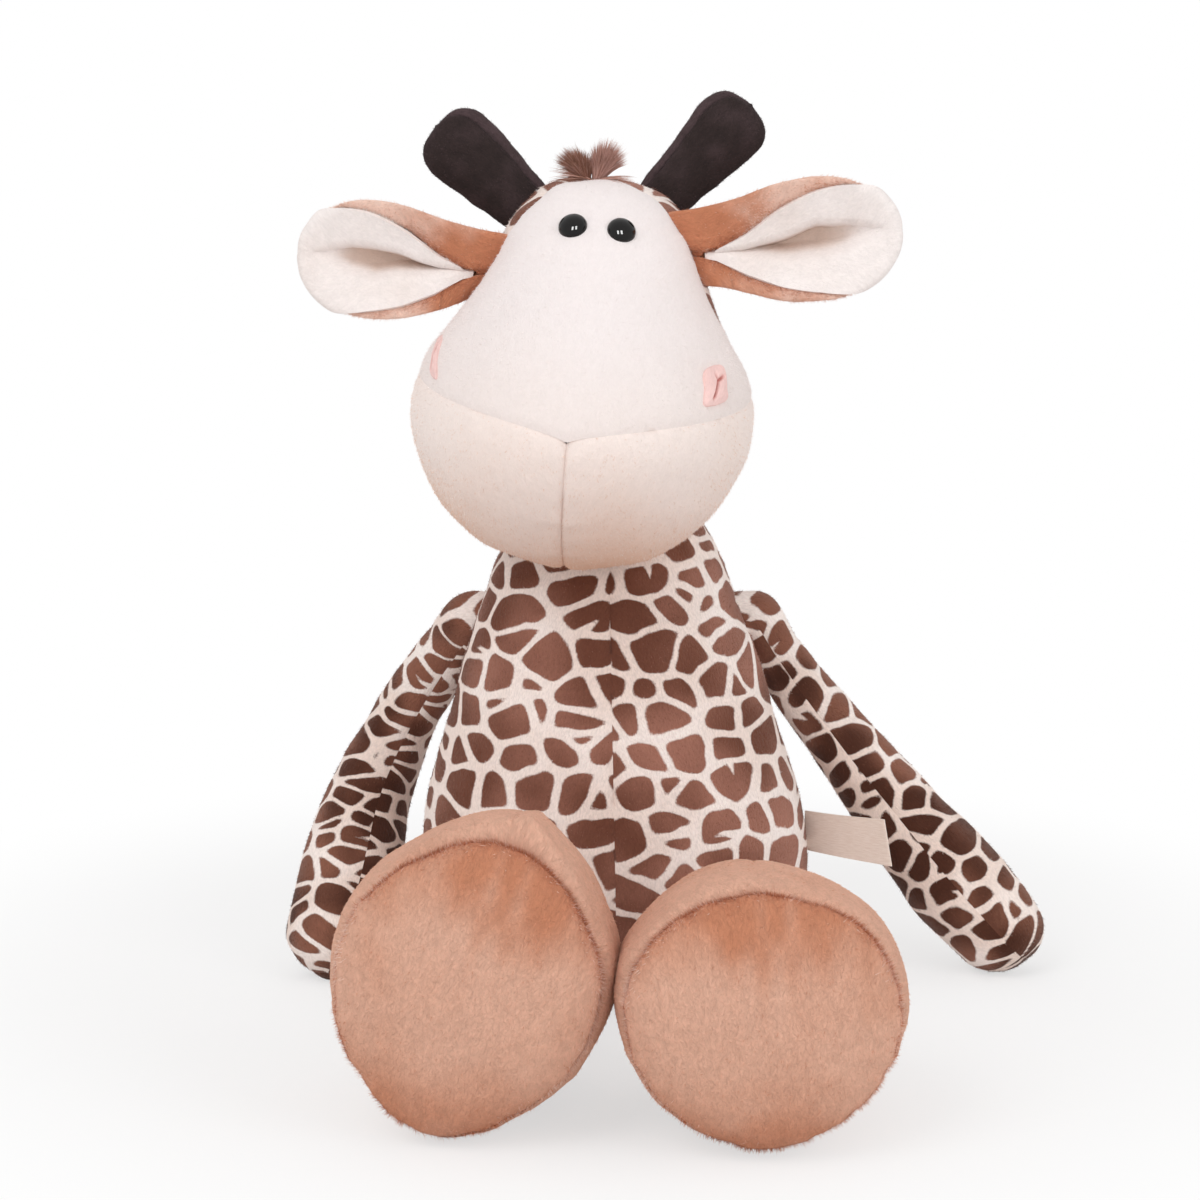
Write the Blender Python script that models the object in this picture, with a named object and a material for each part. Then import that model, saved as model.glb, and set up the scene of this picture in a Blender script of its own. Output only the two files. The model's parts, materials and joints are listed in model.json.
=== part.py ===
"""A sitting plush giraffe, sewn from panels over stuffing, in metres with +Z up.

The toy faces -Y and sits on the floor plane z = 0, under the middle of its body. Left and right are
the viewer's. Every stuffed member is a form: a row of rings along a spine. The sewn panels are
patches of the form's skin, given the cloth's thickness inwards, and the stuffing is the same form
drawn in under them. Where a limb or the head swings, its root is a ball about the joint's centre and
the body has a matching hollow.
"""

import math

import bmesh
import bpy
import numpy as np
from mathutils import Vector

# Cloth and clearances
CLOTH = 0.002  # pile and backing of the plush together
SEAM_GAP = 0.0003  # between neighbouring sewn panels
STUFFING_GAP = 0.0006  # between the cloth and the stuffing
SEAT_GAP = 0.0003  # between a piece and what it is sewn or fixed to
JOINT_GAP = 0.0004  # between a ball root and its hollow
SOCKET_GAP = 0.0006  # between the neck's dome and the head's hollow
OVERRUN = 0.004  # how far a cutter runs past what it cuts
CUTTER_SEGMENTS = 32
CAP_STEPS = 2  # rings in a limb's round end
SHARP_EDGE = math.radians(50)

# Body
BODY_HEIGHT = 0.152  # floor to the middle of the neck dome
BODY_HALF_WIDTH = 0.0705
BODY_HALF_DEPTH = 0.055
BODY_LEAN = -0.001  # how far the neck stands to the left of the seat
NECK_RADIUS = 0.037
NECK_PLUG_RADIUS = 0.015
NECK_PLUG_DEPTH = 0.018  # how far the neck's filling reaches below the neck dome's middle
BODY_SEGMENTS = 24
# Height as a share of the body's height, then the half width and half depth as shares of the widest.
BODY_SHARES = (
    (0.0, 0.62, 0.66),
    (0.025, 0.80, 0.82),
    (0.10, 0.94, 0.95),
    (0.28, 1.0, 1.0),
    (0.43, 0.975, 0.97),
    (0.62, 0.855, 0.86),
    (0.80, 0.745, 0.76),
    (0.92, 0.635, 0.70),
)
NECK_DOME_STEPS = 4
NECK_PLUG_STEPS = 4

# Head, in its own frame about the middle of the neck dome
HEAD_HEIGHT = 0.1388
HEAD_BOTTOM = 0.008  # the chin's lowest point above the neck dome's middle
HEAD_HALF_WIDTH = 0.0595
HEAD_FRONT = 0.097  # reach of the muzzle in front of the neck
HEAD_BACK = 0.0345
HEAD_OFFSET = -0.0125  # the head sits to the left of the neck
HEAD_TURN = math.radians(4)
HEAD_ROLL = math.radians(5)
HEAD_SEGMENTS = 24
# Height, half width, front and back, each as a share of the head's own size.
HEAD_SHARES = (
    (1.0, 0.0, 0.06, -0.06),
    (0.985, 0.27, 0.19, 0.26),
    (0.945, 0.415, 0.30, 0.56),
    (0.862, 0.545, 0.42, 0.79),
    (0.78, 0.61, 0.52, 0.90),
    (0.69, 0.70, 0.65, 0.96),
    (0.605, 0.81, 0.78, 0.99),
    (0.52, 0.925, 0.90, 1.0),
    (0.43, 0.985, 0.98, 0.99),
    (0.337, 0.99, 1.0, 0.95),
    (0.245, 0.925, 0.965, 0.86),
    (0.153, 0.81, 0.885, 0.62),
    (0.077, 0.64, 0.775, 0.17),
    (0.031, 0.43, 0.66, -0.52),
    (0.0, 0.0, 0.48, -1.35),
)
HEAD_MIDDLE_SHARE = 0.55  # where a ring is widest, from its front to its back
SMILE_RING = 9  # the ring where the face panel ends and the muzzle panels start
SMILE_RISE = 0.38  # how many rings higher the smile seam runs at the middle
SMILE_CURVE = 1.12  # and how many more by the side seams
SMILE_POWER = 0.6  # a lower power gives a sharper dip at the middle
SMILE_FIRST = 3  # the rings between which the rows follow the smile
SMILE_LAST = 14
SIDE_SEAM_TOP = math.radians(-27)  # how far the side seam moves forward at the crown
SIDE_SEAM_LOW = math.radians(20)  # and how far it moves back beside the muzzle
SIDE_SEAM_FIRST = 2  # the ring where it starts to lean
CHIN_RINGS = 3  # the last rings, over which it comes back to the middle

# Eyes
EYE_RADIUS = 0.005
EYE_HEIGHT = 0.0036
EYE_SPACING = 0.0168
EYE_LEVEL_SHARE = 0.8915  # of the head's height
EYE_SINK = 0.0006
EYE_SHANK_RADIUS = 0.0016
EYE_SHANK_LENGTH = 0.0075
WASHER_RADIUS = 0.0048
WASHER_THICKNESS = 0.0012
WASHER_BORE_GAP = 0.00015
EYE_SEGMENTS = 28
EYE_DOME_STEPS = 5

# Nostril patches
NOSTRIL_LEVEL_SHARE = 0.5425  # of the head's height
NOSTRIL_HEIGHT = 0.0135
NOSTRIL_WIDTH = 0.012
NOSTRIL_ANGLE = math.radians(50)  # round the head from the front
NOSTRIL_THICKNESS = 0.0011
NOSTRIL_GAP = 0.0006
NOSTRIL_ROUNDING_SHARE = 0.75  # how much narrower its ends are
NOSTRIL_STEPS = 5

# Horns
HORN_LENGTH = 0.048
HORN_ROOT_LENGTH = 0.010  # the part of the horn's form that the head cuts away
HORN_HALF_WIDTH = 0.0143
HORN_HALF_DEPTH = 0.0095
HORN_SETBACK = 0.006  # behind the neck's middle
HORN_SEGMENTS = 12
HORN_SHARES = (  # along the horn, then the share of its width and depth there
    (0.0, 0.58),
    (0.22, 0.68),
    (0.45, 0.82),
    (0.66, 0.96),
    (0.79, 1.0),
    (0.89, 0.92),
    (0.96, 0.66),
    (1.0, 0.0),
)
HORN_ROOT_SPREAD = {"left": -0.0273, "right": 0.0204}
HORN_ROOT_LEVEL_SHARE = {"left": 0.922, "right": 0.976}  # of the head's height
HORN_SPLAY = {"left": math.radians(-54), "right": math.radians(38.6)}

# Ears
EAR_LENGTH = {"left": 0.0665, "right": 0.0705}
EAR_HALF_WIDTH = 0.0215
EAR_THICKNESS = 0.0032
EAR_ROOT_THICKNESS_SHARE = 0.35
EAR_CUP = 0.013  # how far the middle lies behind the rims
EAR_LINING_THICKNESS = 0.0022
EAR_LEVEL_SHARE = {"left": 0.755, "right": 0.851}  # of the head's height
EAR_LIFT = {"left": math.radians(0), "right": math.radians(10.8)}
# Along the ear, its half width and the depth of its cup, then the lining's low and high edges as
# shares of the half width.
EAR_SHARES = (
    (0.0, 0.60, 0.15, -0.15, -0.10),
    (0.10, 0.66, 0.45, -0.42, 0.02),
    (0.25, 0.79, 0.80, -0.68, 0.38),
    (0.42, 0.94, 1.0, -0.82, 0.56),
    (0.60, 1.0, 0.95, -0.88, 0.69),
    (0.76, 0.92, 0.75, -0.90, 0.78),
    (0.89, 0.69, 0.45, -0.88, 0.84),
    (0.97, 0.40, 0.18, -0.80, 0.80),
    (1.0, 0.14, 0.05, -0.80, 0.80),
)
EAR_LINING_STEPS = 2  # how many rows after the root the pale lining starts
EAR_SEGMENTS = 8
EAR_FOLLOW_SHARE = 0.3  # of the ear's length, over which its root follows the head's side
EAR_THICKENING = 4  # it is at its full thickness this many times sooner than at its tip
EAR_MIDDLE_SHARE = 0.5  # of the cup's depth, where the ear's plane lies
EAR_FOLD_POWER = 1.6  # a higher power gives a flatter middle with steeper rims
EAR_FOLLOW_POWER = 2
EAR_SEAT_GAP = 0.0009

# Hair tuft
TUFT_WIDTH = 0.025
TUFT_HEIGHT = 0.0125
TUFT_DEPTH = 0.014
TUFT_LOCKS = 9
TUFT_LOCK_SHARE = 0.14  # how deep the grooves between the locks are
TUFT_FLARE_SHARE = 0.45  # how much wider the locks spread above their root
TUFT_PARTING_SHARE = 0.35  # how much deeper the parting is than the locks beside it
TUFT_RIGHT_SHARE = 0.22  # how much higher the right half stands
TUFT_SEGMENTS = 36
TUFT_RINGS = 7

# Arms
ARM_LENGTH = 0.146  # shoulder to the middle of the hand, along the arm
ARM_ROOT_RADIUS = 0.0105
ARM_HAND_RADIUS = 0.0165
ARM_SEGMENTS = 12
ARM_SHARES = (  # along the arm, then the radius between the root's (0) and the hand's (1)
    (0.0, 0.0),
    (0.10, -0.28),
    (0.22, -0.15),
    (0.42, 0.27),
    (0.62, 0.75),
    (0.82, 1.05),
    (1.0, 0.97),
)
ARM_BOW_BACK = {"left": 0.028, "right": 0.006}  # how far the arm bends back
ARM_BOW_OUT = {"left": 0.009, "right": 0.006}  # and away from the body
ARM_CHORD_SHARE = {"left": 0.836, "right": 0.985}  # of the arm's length, straight across the bend
ARM_HAND_FORWARD = {"left": 0.012, "right": 0.006}  # the hand in front of the shoulder
SHOULDER_HEIGHT_SHARE = 0.845  # of the body's height
SHOULDER_BACK_SHARE = 0.25  # of the body's half depth there
SHOULDER_SINK = 0.0016

# Legs and feet
LEG_RADIUS = 0.019
ANKLE_RADIUS = 0.0195
HIP_HEIGHT = 0.0245
HIP_SPREAD = 0.034  # the middle of each leg's seam on the body
HIP_SINK = 0.0012
LEG_LENGTH = 0.044  # hip to ankle
LEG_SEGMENTS = 16
LEG_STEPS = 3
LEG_CAP_STEPS = 3
FOOT_SEGMENTS = 20
FOOT_HALF_WIDTH = {"left": 0.0436, "right": 0.0455}
FOOT_HALF_HEIGHT = {"left": 0.0500, "right": 0.0430}
FOOT_LENGTH = {"left": 0.0825, "right": 0.0935}  # ankle to the middle of the sole
FOOT_MIDDLE = {"left": -0.0438, "right": 0.0463}
FOOT_TURN = {"left": math.radians(-7), "right": math.radians(0)}
FOOT_ROLL = {"left": math.radians(10), "right": math.radians(0)}  # its top seam leans to the right
FOOT_EGG_SHARE = 0.06  # how much wider it is above its middle than below
FOOT_SHARES = (  # along the foot, then its half size between the ankle's (0) and its own (1)
    (0.0, 0.0),
    (0.12, 0.42),
    (0.28, 0.78),
    (0.46, 0.96),
    (0.64, 1.0),
    (0.82, 0.965),
    (0.93, 0.76),
    (0.982, 0.42),
    (1.0, -1.0),
)
SOLE_RING = 5  # the ring where the sole is sewn to the upper
FOOT_TOE_RING = 4  # the ring that has the foot's full size

# Tail
TAIL_RADIUS = 0.0042
TAIL_LENGTH = 0.024
TAIL_BACK = 0.004  # its end behind its root
TAIL_HEIGHT_SHARE = 0.37  # of the body's height
TAIL_BOW = 0.001
TAIL_SEGMENTS = 10
TAIL_SHARES = (0, 0.5, 1)
BRUSH_RADIUS = 0.0078
BRUSH_LENGTH = 0.022
BRUSH_SHARES = (  # its radius, then the distance below its root
    (0.0, 0.0),
    (0.46, 0.0),
    (0.80, 0.18),
    (1.0, 0.42),
    (0.86, 0.66),
    (0.46, 0.88),
    (0.0, 1.0),
)

# Label ribbon
LABEL_LENGTH = 0.0335
LABEL_HEIGHT = 0.0145
LABEL_PLY = 0.0005
LABEL_PLY_GAP = 0.0004
LABEL_SEAT_GAP = 0.0010  # lets the ribbon swing at its seam
LABEL_HEIGHT_SHARE = 0.36  # its middle, of the body's height
LABEL_SWING = math.radians(31)  # forwards from straight out
LABEL_TILT = math.radians(-5.5)
LABEL_FOLD_STEPS = 4

SIDES = {"left": -1, "right": 1}
CLOTHS = {
    "print_plush": ((0.45, 0.31, 0.25, 1), 0.95),
    "white_plush": ((0.90, 0.85, 0.79, 1), 0.95),
    "cream_plush": ((0.86, 0.76, 0.64, 1), 0.95),
    "tan_plush": ((0.62, 0.36, 0.22, 1), 0.95),
    "dark_plush": ((0.05, 0.03, 0.03, 1), 0.95),
    "pink_plush": ((0.80, 0.42, 0.38, 1), 0.95),
    "brown_hair": ((0.36, 0.20, 0.14, 1), 0.9),
    "satin_ribbon": ((0.72, 0.62, 0.45, 1), 0.45),
    "eye_black": ((0.01, 0.01, 0.01, 1), 0.06),
    "washer_plastic": ((0.80, 0.80, 0.78, 1), 0.5),
    "stuffing": ((0.88, 0.88, 0.86, 1), 1.0),
}


def clear_scene():
    for obj in list(bpy.data.objects):
        bpy.data.objects.remove(obj, do_unlink=True)


def cloth(name):
    """The material of this name, made on its first use."""
    found = bpy.data.materials.get(name)
    if found:
        return found
    colour, roughness = CLOTHS[name]
    made = bpy.data.materials.new(name)
    made.use_nodes = True
    shader = made.node_tree.nodes["Principled BSDF"]
    shader.inputs["Base Color"].default_value = colour
    shader.inputs["Roughness"].default_value = roughness
    shader.inputs["Metallic"].default_value = 0
    return made


def pivot(name, place, parent=None, turn=0, roll=0):
    """An empty that carries the pieces of one moving body, at its joint's centre."""
    empty = bpy.data.objects.new(name, None)
    bpy.context.collection.objects.link(empty)
    empty.parent = parent
    empty.location = place
    empty.rotation_euler = (0, roll, -turn)
    return empty


def piece(name, points, faces, material, parent, smooth=True):
    """One object from points in the parent's own frame."""
    mesh = bpy.data.meshes.new(name)
    mesh.from_pydata([tuple(p) for p in points], [], faces)
    work = bmesh.new()
    work.from_mesh(mesh)
    bmesh.ops.triangulate(work, faces=work.faces, quad_method="FIXED", ngon_method="EAR_CLIP")
    bmesh.ops.recalc_face_normals(work, faces=work.faces)
    if work.calc_volume(signed=True) < 0:
        bmesh.ops.reverse_faces(work, faces=work.faces)
    work.to_mesh(mesh)
    work.free()
    if smooth:
        mesh.shade_smooth()
        mesh.set_sharp_from_angle(angle=SHARP_EDGE)
    obj = bpy.data.objects.new(name, mesh)
    bpy.context.collection.objects.link(obj)
    obj.parent = parent
    if material:
        mesh.materials.append(cloth(material))
    else:
        obj.hide_render = True
        obj.display_type = "WIRE"
    return obj


def cut(obj, cutter):
    """Takes the cutter's space out of a piece."""
    modifier = obj.modifiers.new("cut_" + cutter.name, "BOOLEAN")
    modifier.operation = "DIFFERENCE"
    modifier.solver = "EXACT"
    modifier.object = cutter


class Form:
    """A stuffed shape: rings along a spine, each with a middle, two directions and its half sizes.

    A ring's point at angle v is middle + across * width * sin v + ahead * reach * cos v, where the
    reach is the ring's front or its back. A ring of no width is a pole. warp turns the points of a
    ring, and shift moves them along to a place between two rings.
    """

    def __init__(self, rings, segments, floor=None, warp=None, shift=None, egg=0):
        self.rings = rings
        self.segments = segments
        self.floor = floor
        steps = np.arange(segments) * 2 * math.pi / segments
        table = np.array([np.hstack(ring) for ring in rings])
        places = np.arange(len(rings))
        self.skin = np.zeros((len(rings), segments, 3))
        for i in places:
            at = i + (shift(i, steps) if shift else 0 * steps)
            ring = np.array([np.interp(at, places, column) for column in table.T]).T
            v = steps + (warp(at, steps) if warp else 0)
            across = ring[:, 3:6] * (ring[:, 9] * np.sin(v) * (1 + egg * np.cos(v)))[:, None]
            reach = np.where(np.cos(v) >= 0, ring[:, 10], ring[:, 11]) * np.cos(v)
            self.skin[i] = ring[:, :3] + across + ring[:, 6:9] * reach[:, None]
        self.poles = [ring[3] == 0 for ring in rings]
        self.normals = self.find_normals()

    def find_normals(self):
        along = np.gradient(self.skin, axis=0)
        around = np.roll(self.skin, -1, axis=1) - np.roll(self.skin, 1, axis=1)
        normals = np.cross(around, along)
        middles = np.array([ring[0] for ring in self.rings])
        for i, pole in enumerate(self.poles):
            if pole:
                inner = 1 if i == 0 else i - 1
                normals[i] = middles[i] - self.skin[inner].mean(axis=0)
        normals /= np.linalg.norm(normals, axis=2, keepdims=True)
        outward = self.skin - middles[:, None, :]
        if (normals * outward).sum() < 0:
            for i, pole in enumerate(self.poles):
                if not pole:
                    normals[i] *= -1
        return normals

    def layer(self, depth):
        """The skin drawn in by depth, and kept that far above the floor."""
        points = self.skin - self.normals * depth
        if self.floor is not None:
            points[:, :, 2] = np.maximum(points[:, :, 2], self.floor + depth)
        return points

    def panel(self, name, material, parent, rows, columns, shift):
        """A sewn panel: the skin over these rows and columns, given the cloth's thickness.

        Neighbours share their edge before each is moved away from it by its shift.
        """
        outer = self.layer(0)
        inner = self.layer(CLOTH)
        first_row, last_row = rows
        first, last = columns
        whole = last - first == self.segments
        points, index = [], {}

        def at(side, i, j):
            key = (side, i, 0 if self.poles[i] else j % self.segments)
            if key not in index:
                index[key] = len(points)
                points.append((outer, inner)[side][i, key[2]] + shift)
            return index[key]

        faces = []

        def face(*corners):
            kept = list(dict.fromkeys(corners))
            if len(kept) > 2:
                faces.append(kept)

        for i in range(first_row, last_row):
            for j in range(first, last):
                face(at(0, i, j), at(0, i, j + 1), at(0, i + 1, j + 1), at(0, i + 1, j))
                face(at(1, i, j), at(1, i + 1, j), at(1, i + 1, j + 1), at(1, i, j + 1))
        for i in (first_row, last_row):
            for j in range(first, last):
                if not self.poles[i]:
                    face(at(0, i, j), at(1, i, j), at(1, i, j + 1), at(0, i, j + 1))
        if not whole:
            for j in (first, last):
                for i in range(first_row, last_row):
                    face(at(0, i, j), at(0, i + 1, j), at(1, i + 1, j), at(1, i, j))
        return piece(name, points, faces, material, parent)

    def filling(self, name, material, parent, rows, depth, shift=(0, 0, 0)):
        """The closed solid inside the skin, drawn in by depth."""
        grid = self.layer(depth) + np.array(shift)
        first_row, last_row = rows
        points, starts = [], []
        for i in range(first_row, last_row + 1):
            starts.append(len(points))
            points.extend(grid[i, :1] if self.poles[i] else grid[i])
        faces = []
        n = self.segments
        for k, i in enumerate(range(first_row, last_row)):
            a, b = starts[k], starts[k + 1]
            for j in range(n):
                low = (a, a) if self.poles[i] else (a + j, a + (j + 1) % n)
                high = (b, b) if self.poles[i + 1] else (b + j, b + (j + 1) % n)
                corners = list(dict.fromkeys((low[0], low[1], high[1], high[0])))
                faces.append(corners)
        if not self.poles[first_row]:
            faces.append([starts[0] + j for j in range(n)])
        if not self.poles[last_row]:
            faces.append([starts[-1] + j for j in reversed(range(n))])
        return piece(name, points, faces, material, parent)

    def surface(self, level, angle):
        """The skin's point and outward direction at this height and angle, for an upright form."""
        column = (angle / (2 * math.pi) * self.segments) % self.segments
        j = int(column)
        k = (j + 1) % self.segments
        part = column - j
        heights = self.skin[:, j, 2] * (1 - part) + self.skin[:, k, 2] * part
        order = np.argsort(heights)
        place = np.interp(level, heights[order], order)
        i = min(int(place), len(self.rings) - 2)
        share = place - i

        def mixed(grid):
            upper = grid[i, j] * (1 - part) + grid[i, k] * part
            lower = grid[i + 1, j] * (1 - part) + grid[i + 1, k] * part
            return upper * (1 - share) + lower * share

        out = mixed(self.normals)
        return mixed(self.skin), out / np.linalg.norm(out)


def hollow_ball(name, centre, radius):
    """A ball that cuts a hollow."""
    work = bmesh.new()
    around, down = CUTTER_SEGMENTS, CUTTER_SEGMENTS // 2
    bmesh.ops.create_uvsphere(work, u_segments=around, v_segments=down, radius=radius)
    bmesh.ops.translate(work, vec=Vector(centre), verts=work.verts)
    points = [v.co.copy() for v in work.verts]
    faces = [[v.index for v in f.verts] for f in work.faces]
    work.free()
    return piece(name, points, faces, None, None)


def turned(name, profile, axis_start, axis_end, parent, material=None, segments=CUTTER_SEGMENTS):
    """A solid turned about the line between two points, from (radius, distance) pairs along it."""
    start = Vector(axis_start)
    way = (Vector(axis_end) - start).normalized()
    side = way.orthogonal().normalized()
    other = way.cross(side)
    points, rows = [], []
    for radius, along in profile:
        if radius == 0:
            rows.append([len(points)])
            points.append(start + way * along)
            continue
        rows.append(list(range(len(points), len(points) + segments)))
        for k in range(segments):
            a = 2 * math.pi * k / segments
            out = side * math.cos(a) + other * math.sin(a)
            points.append(start + way * along + out * radius)
    faces = []
    closed = profile[0][0] != 0 and profile[-1][0] != 0
    for low, high in zip(rows, rows[1:] + (rows[:1] if closed else [])):
        for k in range(segments):
            corners = (
                low[k % len(low)],
                low[(k + 1) % len(low)],
                high[(k + 1) % len(high)],
                high[k % len(high)],
            )
            faces.append(list(dict.fromkeys(corners)))
    return piece(name, points, faces, material, parent)


def smooth_rows(rows):
    """Hand-chosen rows with a rounded row put between each two, by the four-point rule."""
    rows = [np.array(r, float) for r in rows]
    fuller = [rows[0]]
    for k in range(len(rows) - 1):
        before = rows[max(k - 1, 0)]
        after = rows[min(k + 2, len(rows) - 1)]
        fuller.append((9 * (rows[k] + rows[k + 1]) - before - after) / 16)
        fuller.append(rows[k + 1])
    return fuller


def bend(start, control, end, share):
    """A point of the quadratic curve, and the way it runs there."""
    a, b, c = (np.array(p, float) for p in (start, control, end))
    point = a * (1 - share) ** 2 + 2 * b * share * (1 - share) + c * share**2
    way = 2 * (b - a) * (1 - share) + 2 * (c - b) * share
    return point, way / np.linalg.norm(way)


def cap_rings(middle, way, across, ahead, radius, steps, sign):
    """The rings of a round end, from its pole to just before the full ring; sign says which end."""
    rings = []
    for k in range(steps):
        a = math.pi / 2 * k / steps
        place = middle + way * sign * radius * math.cos(a)
        size = radius * math.sin(a)
        rings.append((place, across, ahead, size, size, size))
    return rings


X, Y, Z = np.eye(3)


def body_form():
    """The pear-shaped body, flat where it sits, with the neck's round dome on top."""
    rings = []
    for height, width, depth in BODY_SHARES:
        lean = BODY_LEAN * height
        middle = X * lean + Z * BODY_HEIGHT * height
        reach = BODY_HALF_DEPTH * depth
        rings.append((middle, X, -Y, BODY_HALF_WIDTH * width, reach, reach))
    for k in range(NECK_DOME_STEPS + 1):
        a = math.pi / 2 * k / NECK_DOME_STEPS
        size = NECK_RADIUS * math.cos(a) if k < NECK_DOME_STEPS else 0
        middle = neck_middle() + Z * NECK_RADIUS * math.sin(a)
        rings.append((middle, X, -Y, size, size, size))
    base = (np.zeros(3), X, -Y, 0, 0, 0)
    return Form([base] + rings, BODY_SEGMENTS, floor=0)


def neck_middle():
    return X * BODY_LEAN + Z * BODY_HEIGHT


def head_form():
    """The pear-shaped head, from the crown down to the chin, in the head's own frame."""
    rings = []
    for height, width, front, back in HEAD_SHARES:
        level = HEAD_BOTTOM + (HEAD_HEIGHT - HEAD_BOTTOM) * height
        ahead, behind = -HEAD_FRONT * front, HEAD_BACK * back
        centre = ahead + (behind - ahead) * HEAD_MIDDLE_SHARE
        middle = Y * centre + Z * level
        half = HEAD_HALF_WIDTH * width
        rings.append((middle, X, -Y, half, centre - ahead, behind - centre))
    count = len(rings)

    def wrapped(steps):
        return (steps + math.pi) % (2 * math.pi) - math.pi

    def side_seam(at, steps):
        """Turns the rings' points so that the side seam leans back towards the muzzle."""
        low = np.clip((at - SIDE_SEAM_FIRST) / (SMILE_RING - 1 - SIDE_SEAM_FIRST), 0, 1)
        move = SIDE_SEAM_TOP + (SIDE_SEAM_LOW - SIDE_SEAM_TOP) * low
        move = move * np.clip((count - 1 - at) / CHIN_RINGS, 0, 1)
        angle = wrapped(steps)
        peak = 1 - np.abs(np.abs(angle) / (math.pi / 2) - 1)
        return np.sign(angle) * move * peak

    def smile(i, steps):
        """Lifts the rows near the smile seam, more towards the sides."""
        high = np.interp(i, (SMILE_FIRST, SMILE_RING, SMILE_LAST), (0, 1, 0))
        off = 1 - np.abs(np.abs(wrapped(steps)) / (math.pi / 2) - 1)
        return -high * (SMILE_RISE + SMILE_CURVE * off**SMILE_POWER)

    return Form(rings, HEAD_SEGMENTS, warp=side_seam, shift=smile)


def tube_form(start, bow, end, shares, radius_at, segments, floor=None):
    """A limb along a line bent by bow, with round ends and its seams in the plane of the bend."""
    chord = np.array(end, float) - np.array(start, float)
    control = (start + end) / 2 + 2 * bow
    across = np.cross(chord, bow)
    across /= np.linalg.norm(across)
    rings = []
    for k, share in enumerate(shares):
        middle, way = bend(start, control, end, share)
        ahead = np.cross(across, way)
        radius = radius_at(share)
        if k == 0:
            rings += cap_rings(middle, way, across, ahead, radius, CAP_STEPS, -1)
        rings.append((middle, across, ahead, radius, radius, radius))
    rings += reversed(cap_rings(middle, way, across, ahead, radius, CAP_STEPS, 1))
    return Form(rings, segments, floor=floor), across


def body_height(share):
    return BODY_HEIGHT * share


def shoulder(side):
    """The middle of the arm's ball root, sunk a little into the body's side."""
    angle = SIDES[side] * (math.pi / 2 + math.asin(SHOULDER_BACK_SHARE))
    point, out = BODY.surface(body_height(SHOULDER_HEIGHT_SHARE), angle)
    return point + out * (ARM_ROOT_RADIUS - SHOULDER_SINK)


def hip(side):
    """The middle of the leg's ball root, sunk a little into the body's front."""
    x = SIDES[side] * HIP_SPREAD
    level_share = HIP_HEIGHT / BODY_HEIGHT
    heights = [row[0] for row in BODY_SHARES]
    width = BODY_HALF_WIDTH * np.interp(level_share, heights, [row[1] for row in BODY_SHARES])
    depth = BODY_HALF_DEPTH * np.interp(level_share, heights, [row[2] for row in BODY_SHARES])
    touch = math.atan2(x / width, math.sqrt(max(0, 1 - (x / width) ** 2)))
    point = np.array((width * math.sin(touch), -depth * math.cos(touch), HIP_HEIGHT))
    out = np.array((math.sin(touch) / width, -math.cos(touch) / depth, 0))
    out /= np.linalg.norm(out)
    return point + out * (LEG_RADIUS - HIP_SINK)


def quarter_panels(form, names, material, parent, rows):
    """Four panels between the front, side and back seams of an upright form."""
    quarter = form.segments // 4
    half = SEAM_GAP / 2
    made = []
    for k, (name, sx, sy) in enumerate(names):
        shift = np.array((sx * half, sy * half, 0))
        columns = (k * quarter, (k + 1) * quarter)
        made.append(form.panel(name, material, parent, rows, columns, shift))
    return made


def half_panels(form, names, material, parent, rows, across):
    """Two panels between the front and back seams of a limb."""
    half = form.segments // 2
    shift = across * SEAM_GAP / 2
    first = form.panel(names[0], material, parent, rows, (0, half), shift)
    second = form.panel(names[1], material, parent, rows, (half, 2 * half), -shift)
    return first, second


def make_body():
    names = (
        ("body_front_right_panel", 1, -1),
        ("body_back_right_panel", 1, 1),
        ("body_back_left_panel", -1, 1),
        ("body_front_left_panel", -1, -1),
    )
    rows = (0, len(BODY.rings) - 1)
    panels = quarter_panels(BODY, names, "print_plush", BODY_PIVOT, rows)
    stuffing = BODY.filling("body_stuffing", "stuffing", BODY_PIVOT, rows, CLOTH + STUFFING_GAP)
    for side in SIDES:
        socket = hollow_ball("cutter_shoulder_" + side, shoulder(side), ARM_ROOT_RADIUS + JOINT_GAP)
        hollow = hollow_ball("cutter_hip_" + side, hip(side), LEG_RADIUS + JOINT_GAP)
        for panel in panels:
            cut(panel, socket)
            cut(panel, hollow)
    floor = neck_middle() - Z * NECK_PLUG_DEPTH
    length = NECK_PLUG_DEPTH + NECK_RADIUS + OVERRUN
    bore_radius = NECK_PLUG_RADIUS + JOINT_GAP
    profile = ((0, 0), (bore_radius, 0), (bore_radius, length), (0, length))
    bore = turned("cutter_neck_bore", profile, floor, neck_middle(), None)
    for panel in panels + [stuffing]:
        cut(panel, bore)


def make_neck():
    """The neck's filling, which passes through the neck's opening and is round where the head rests."""
    low = SEAT_GAP - NECK_PLUG_DEPTH
    profile = [(0, low), (NECK_PLUG_RADIUS, low)]
    lean = math.asin(NECK_PLUG_RADIUS / NECK_RADIUS)
    for k in range(NECK_PLUG_STEPS):
        a = lean * (1 - k / NECK_PLUG_STEPS)
        profile.append((NECK_RADIUS * math.sin(a), NECK_RADIUS * math.cos(a)))
    profile.append((0, NECK_RADIUS))
    turned("neck_stuffing", profile, np.zeros(3), Z, NECK_PIVOT, "stuffing", HEAD_SEGMENTS)


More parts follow.
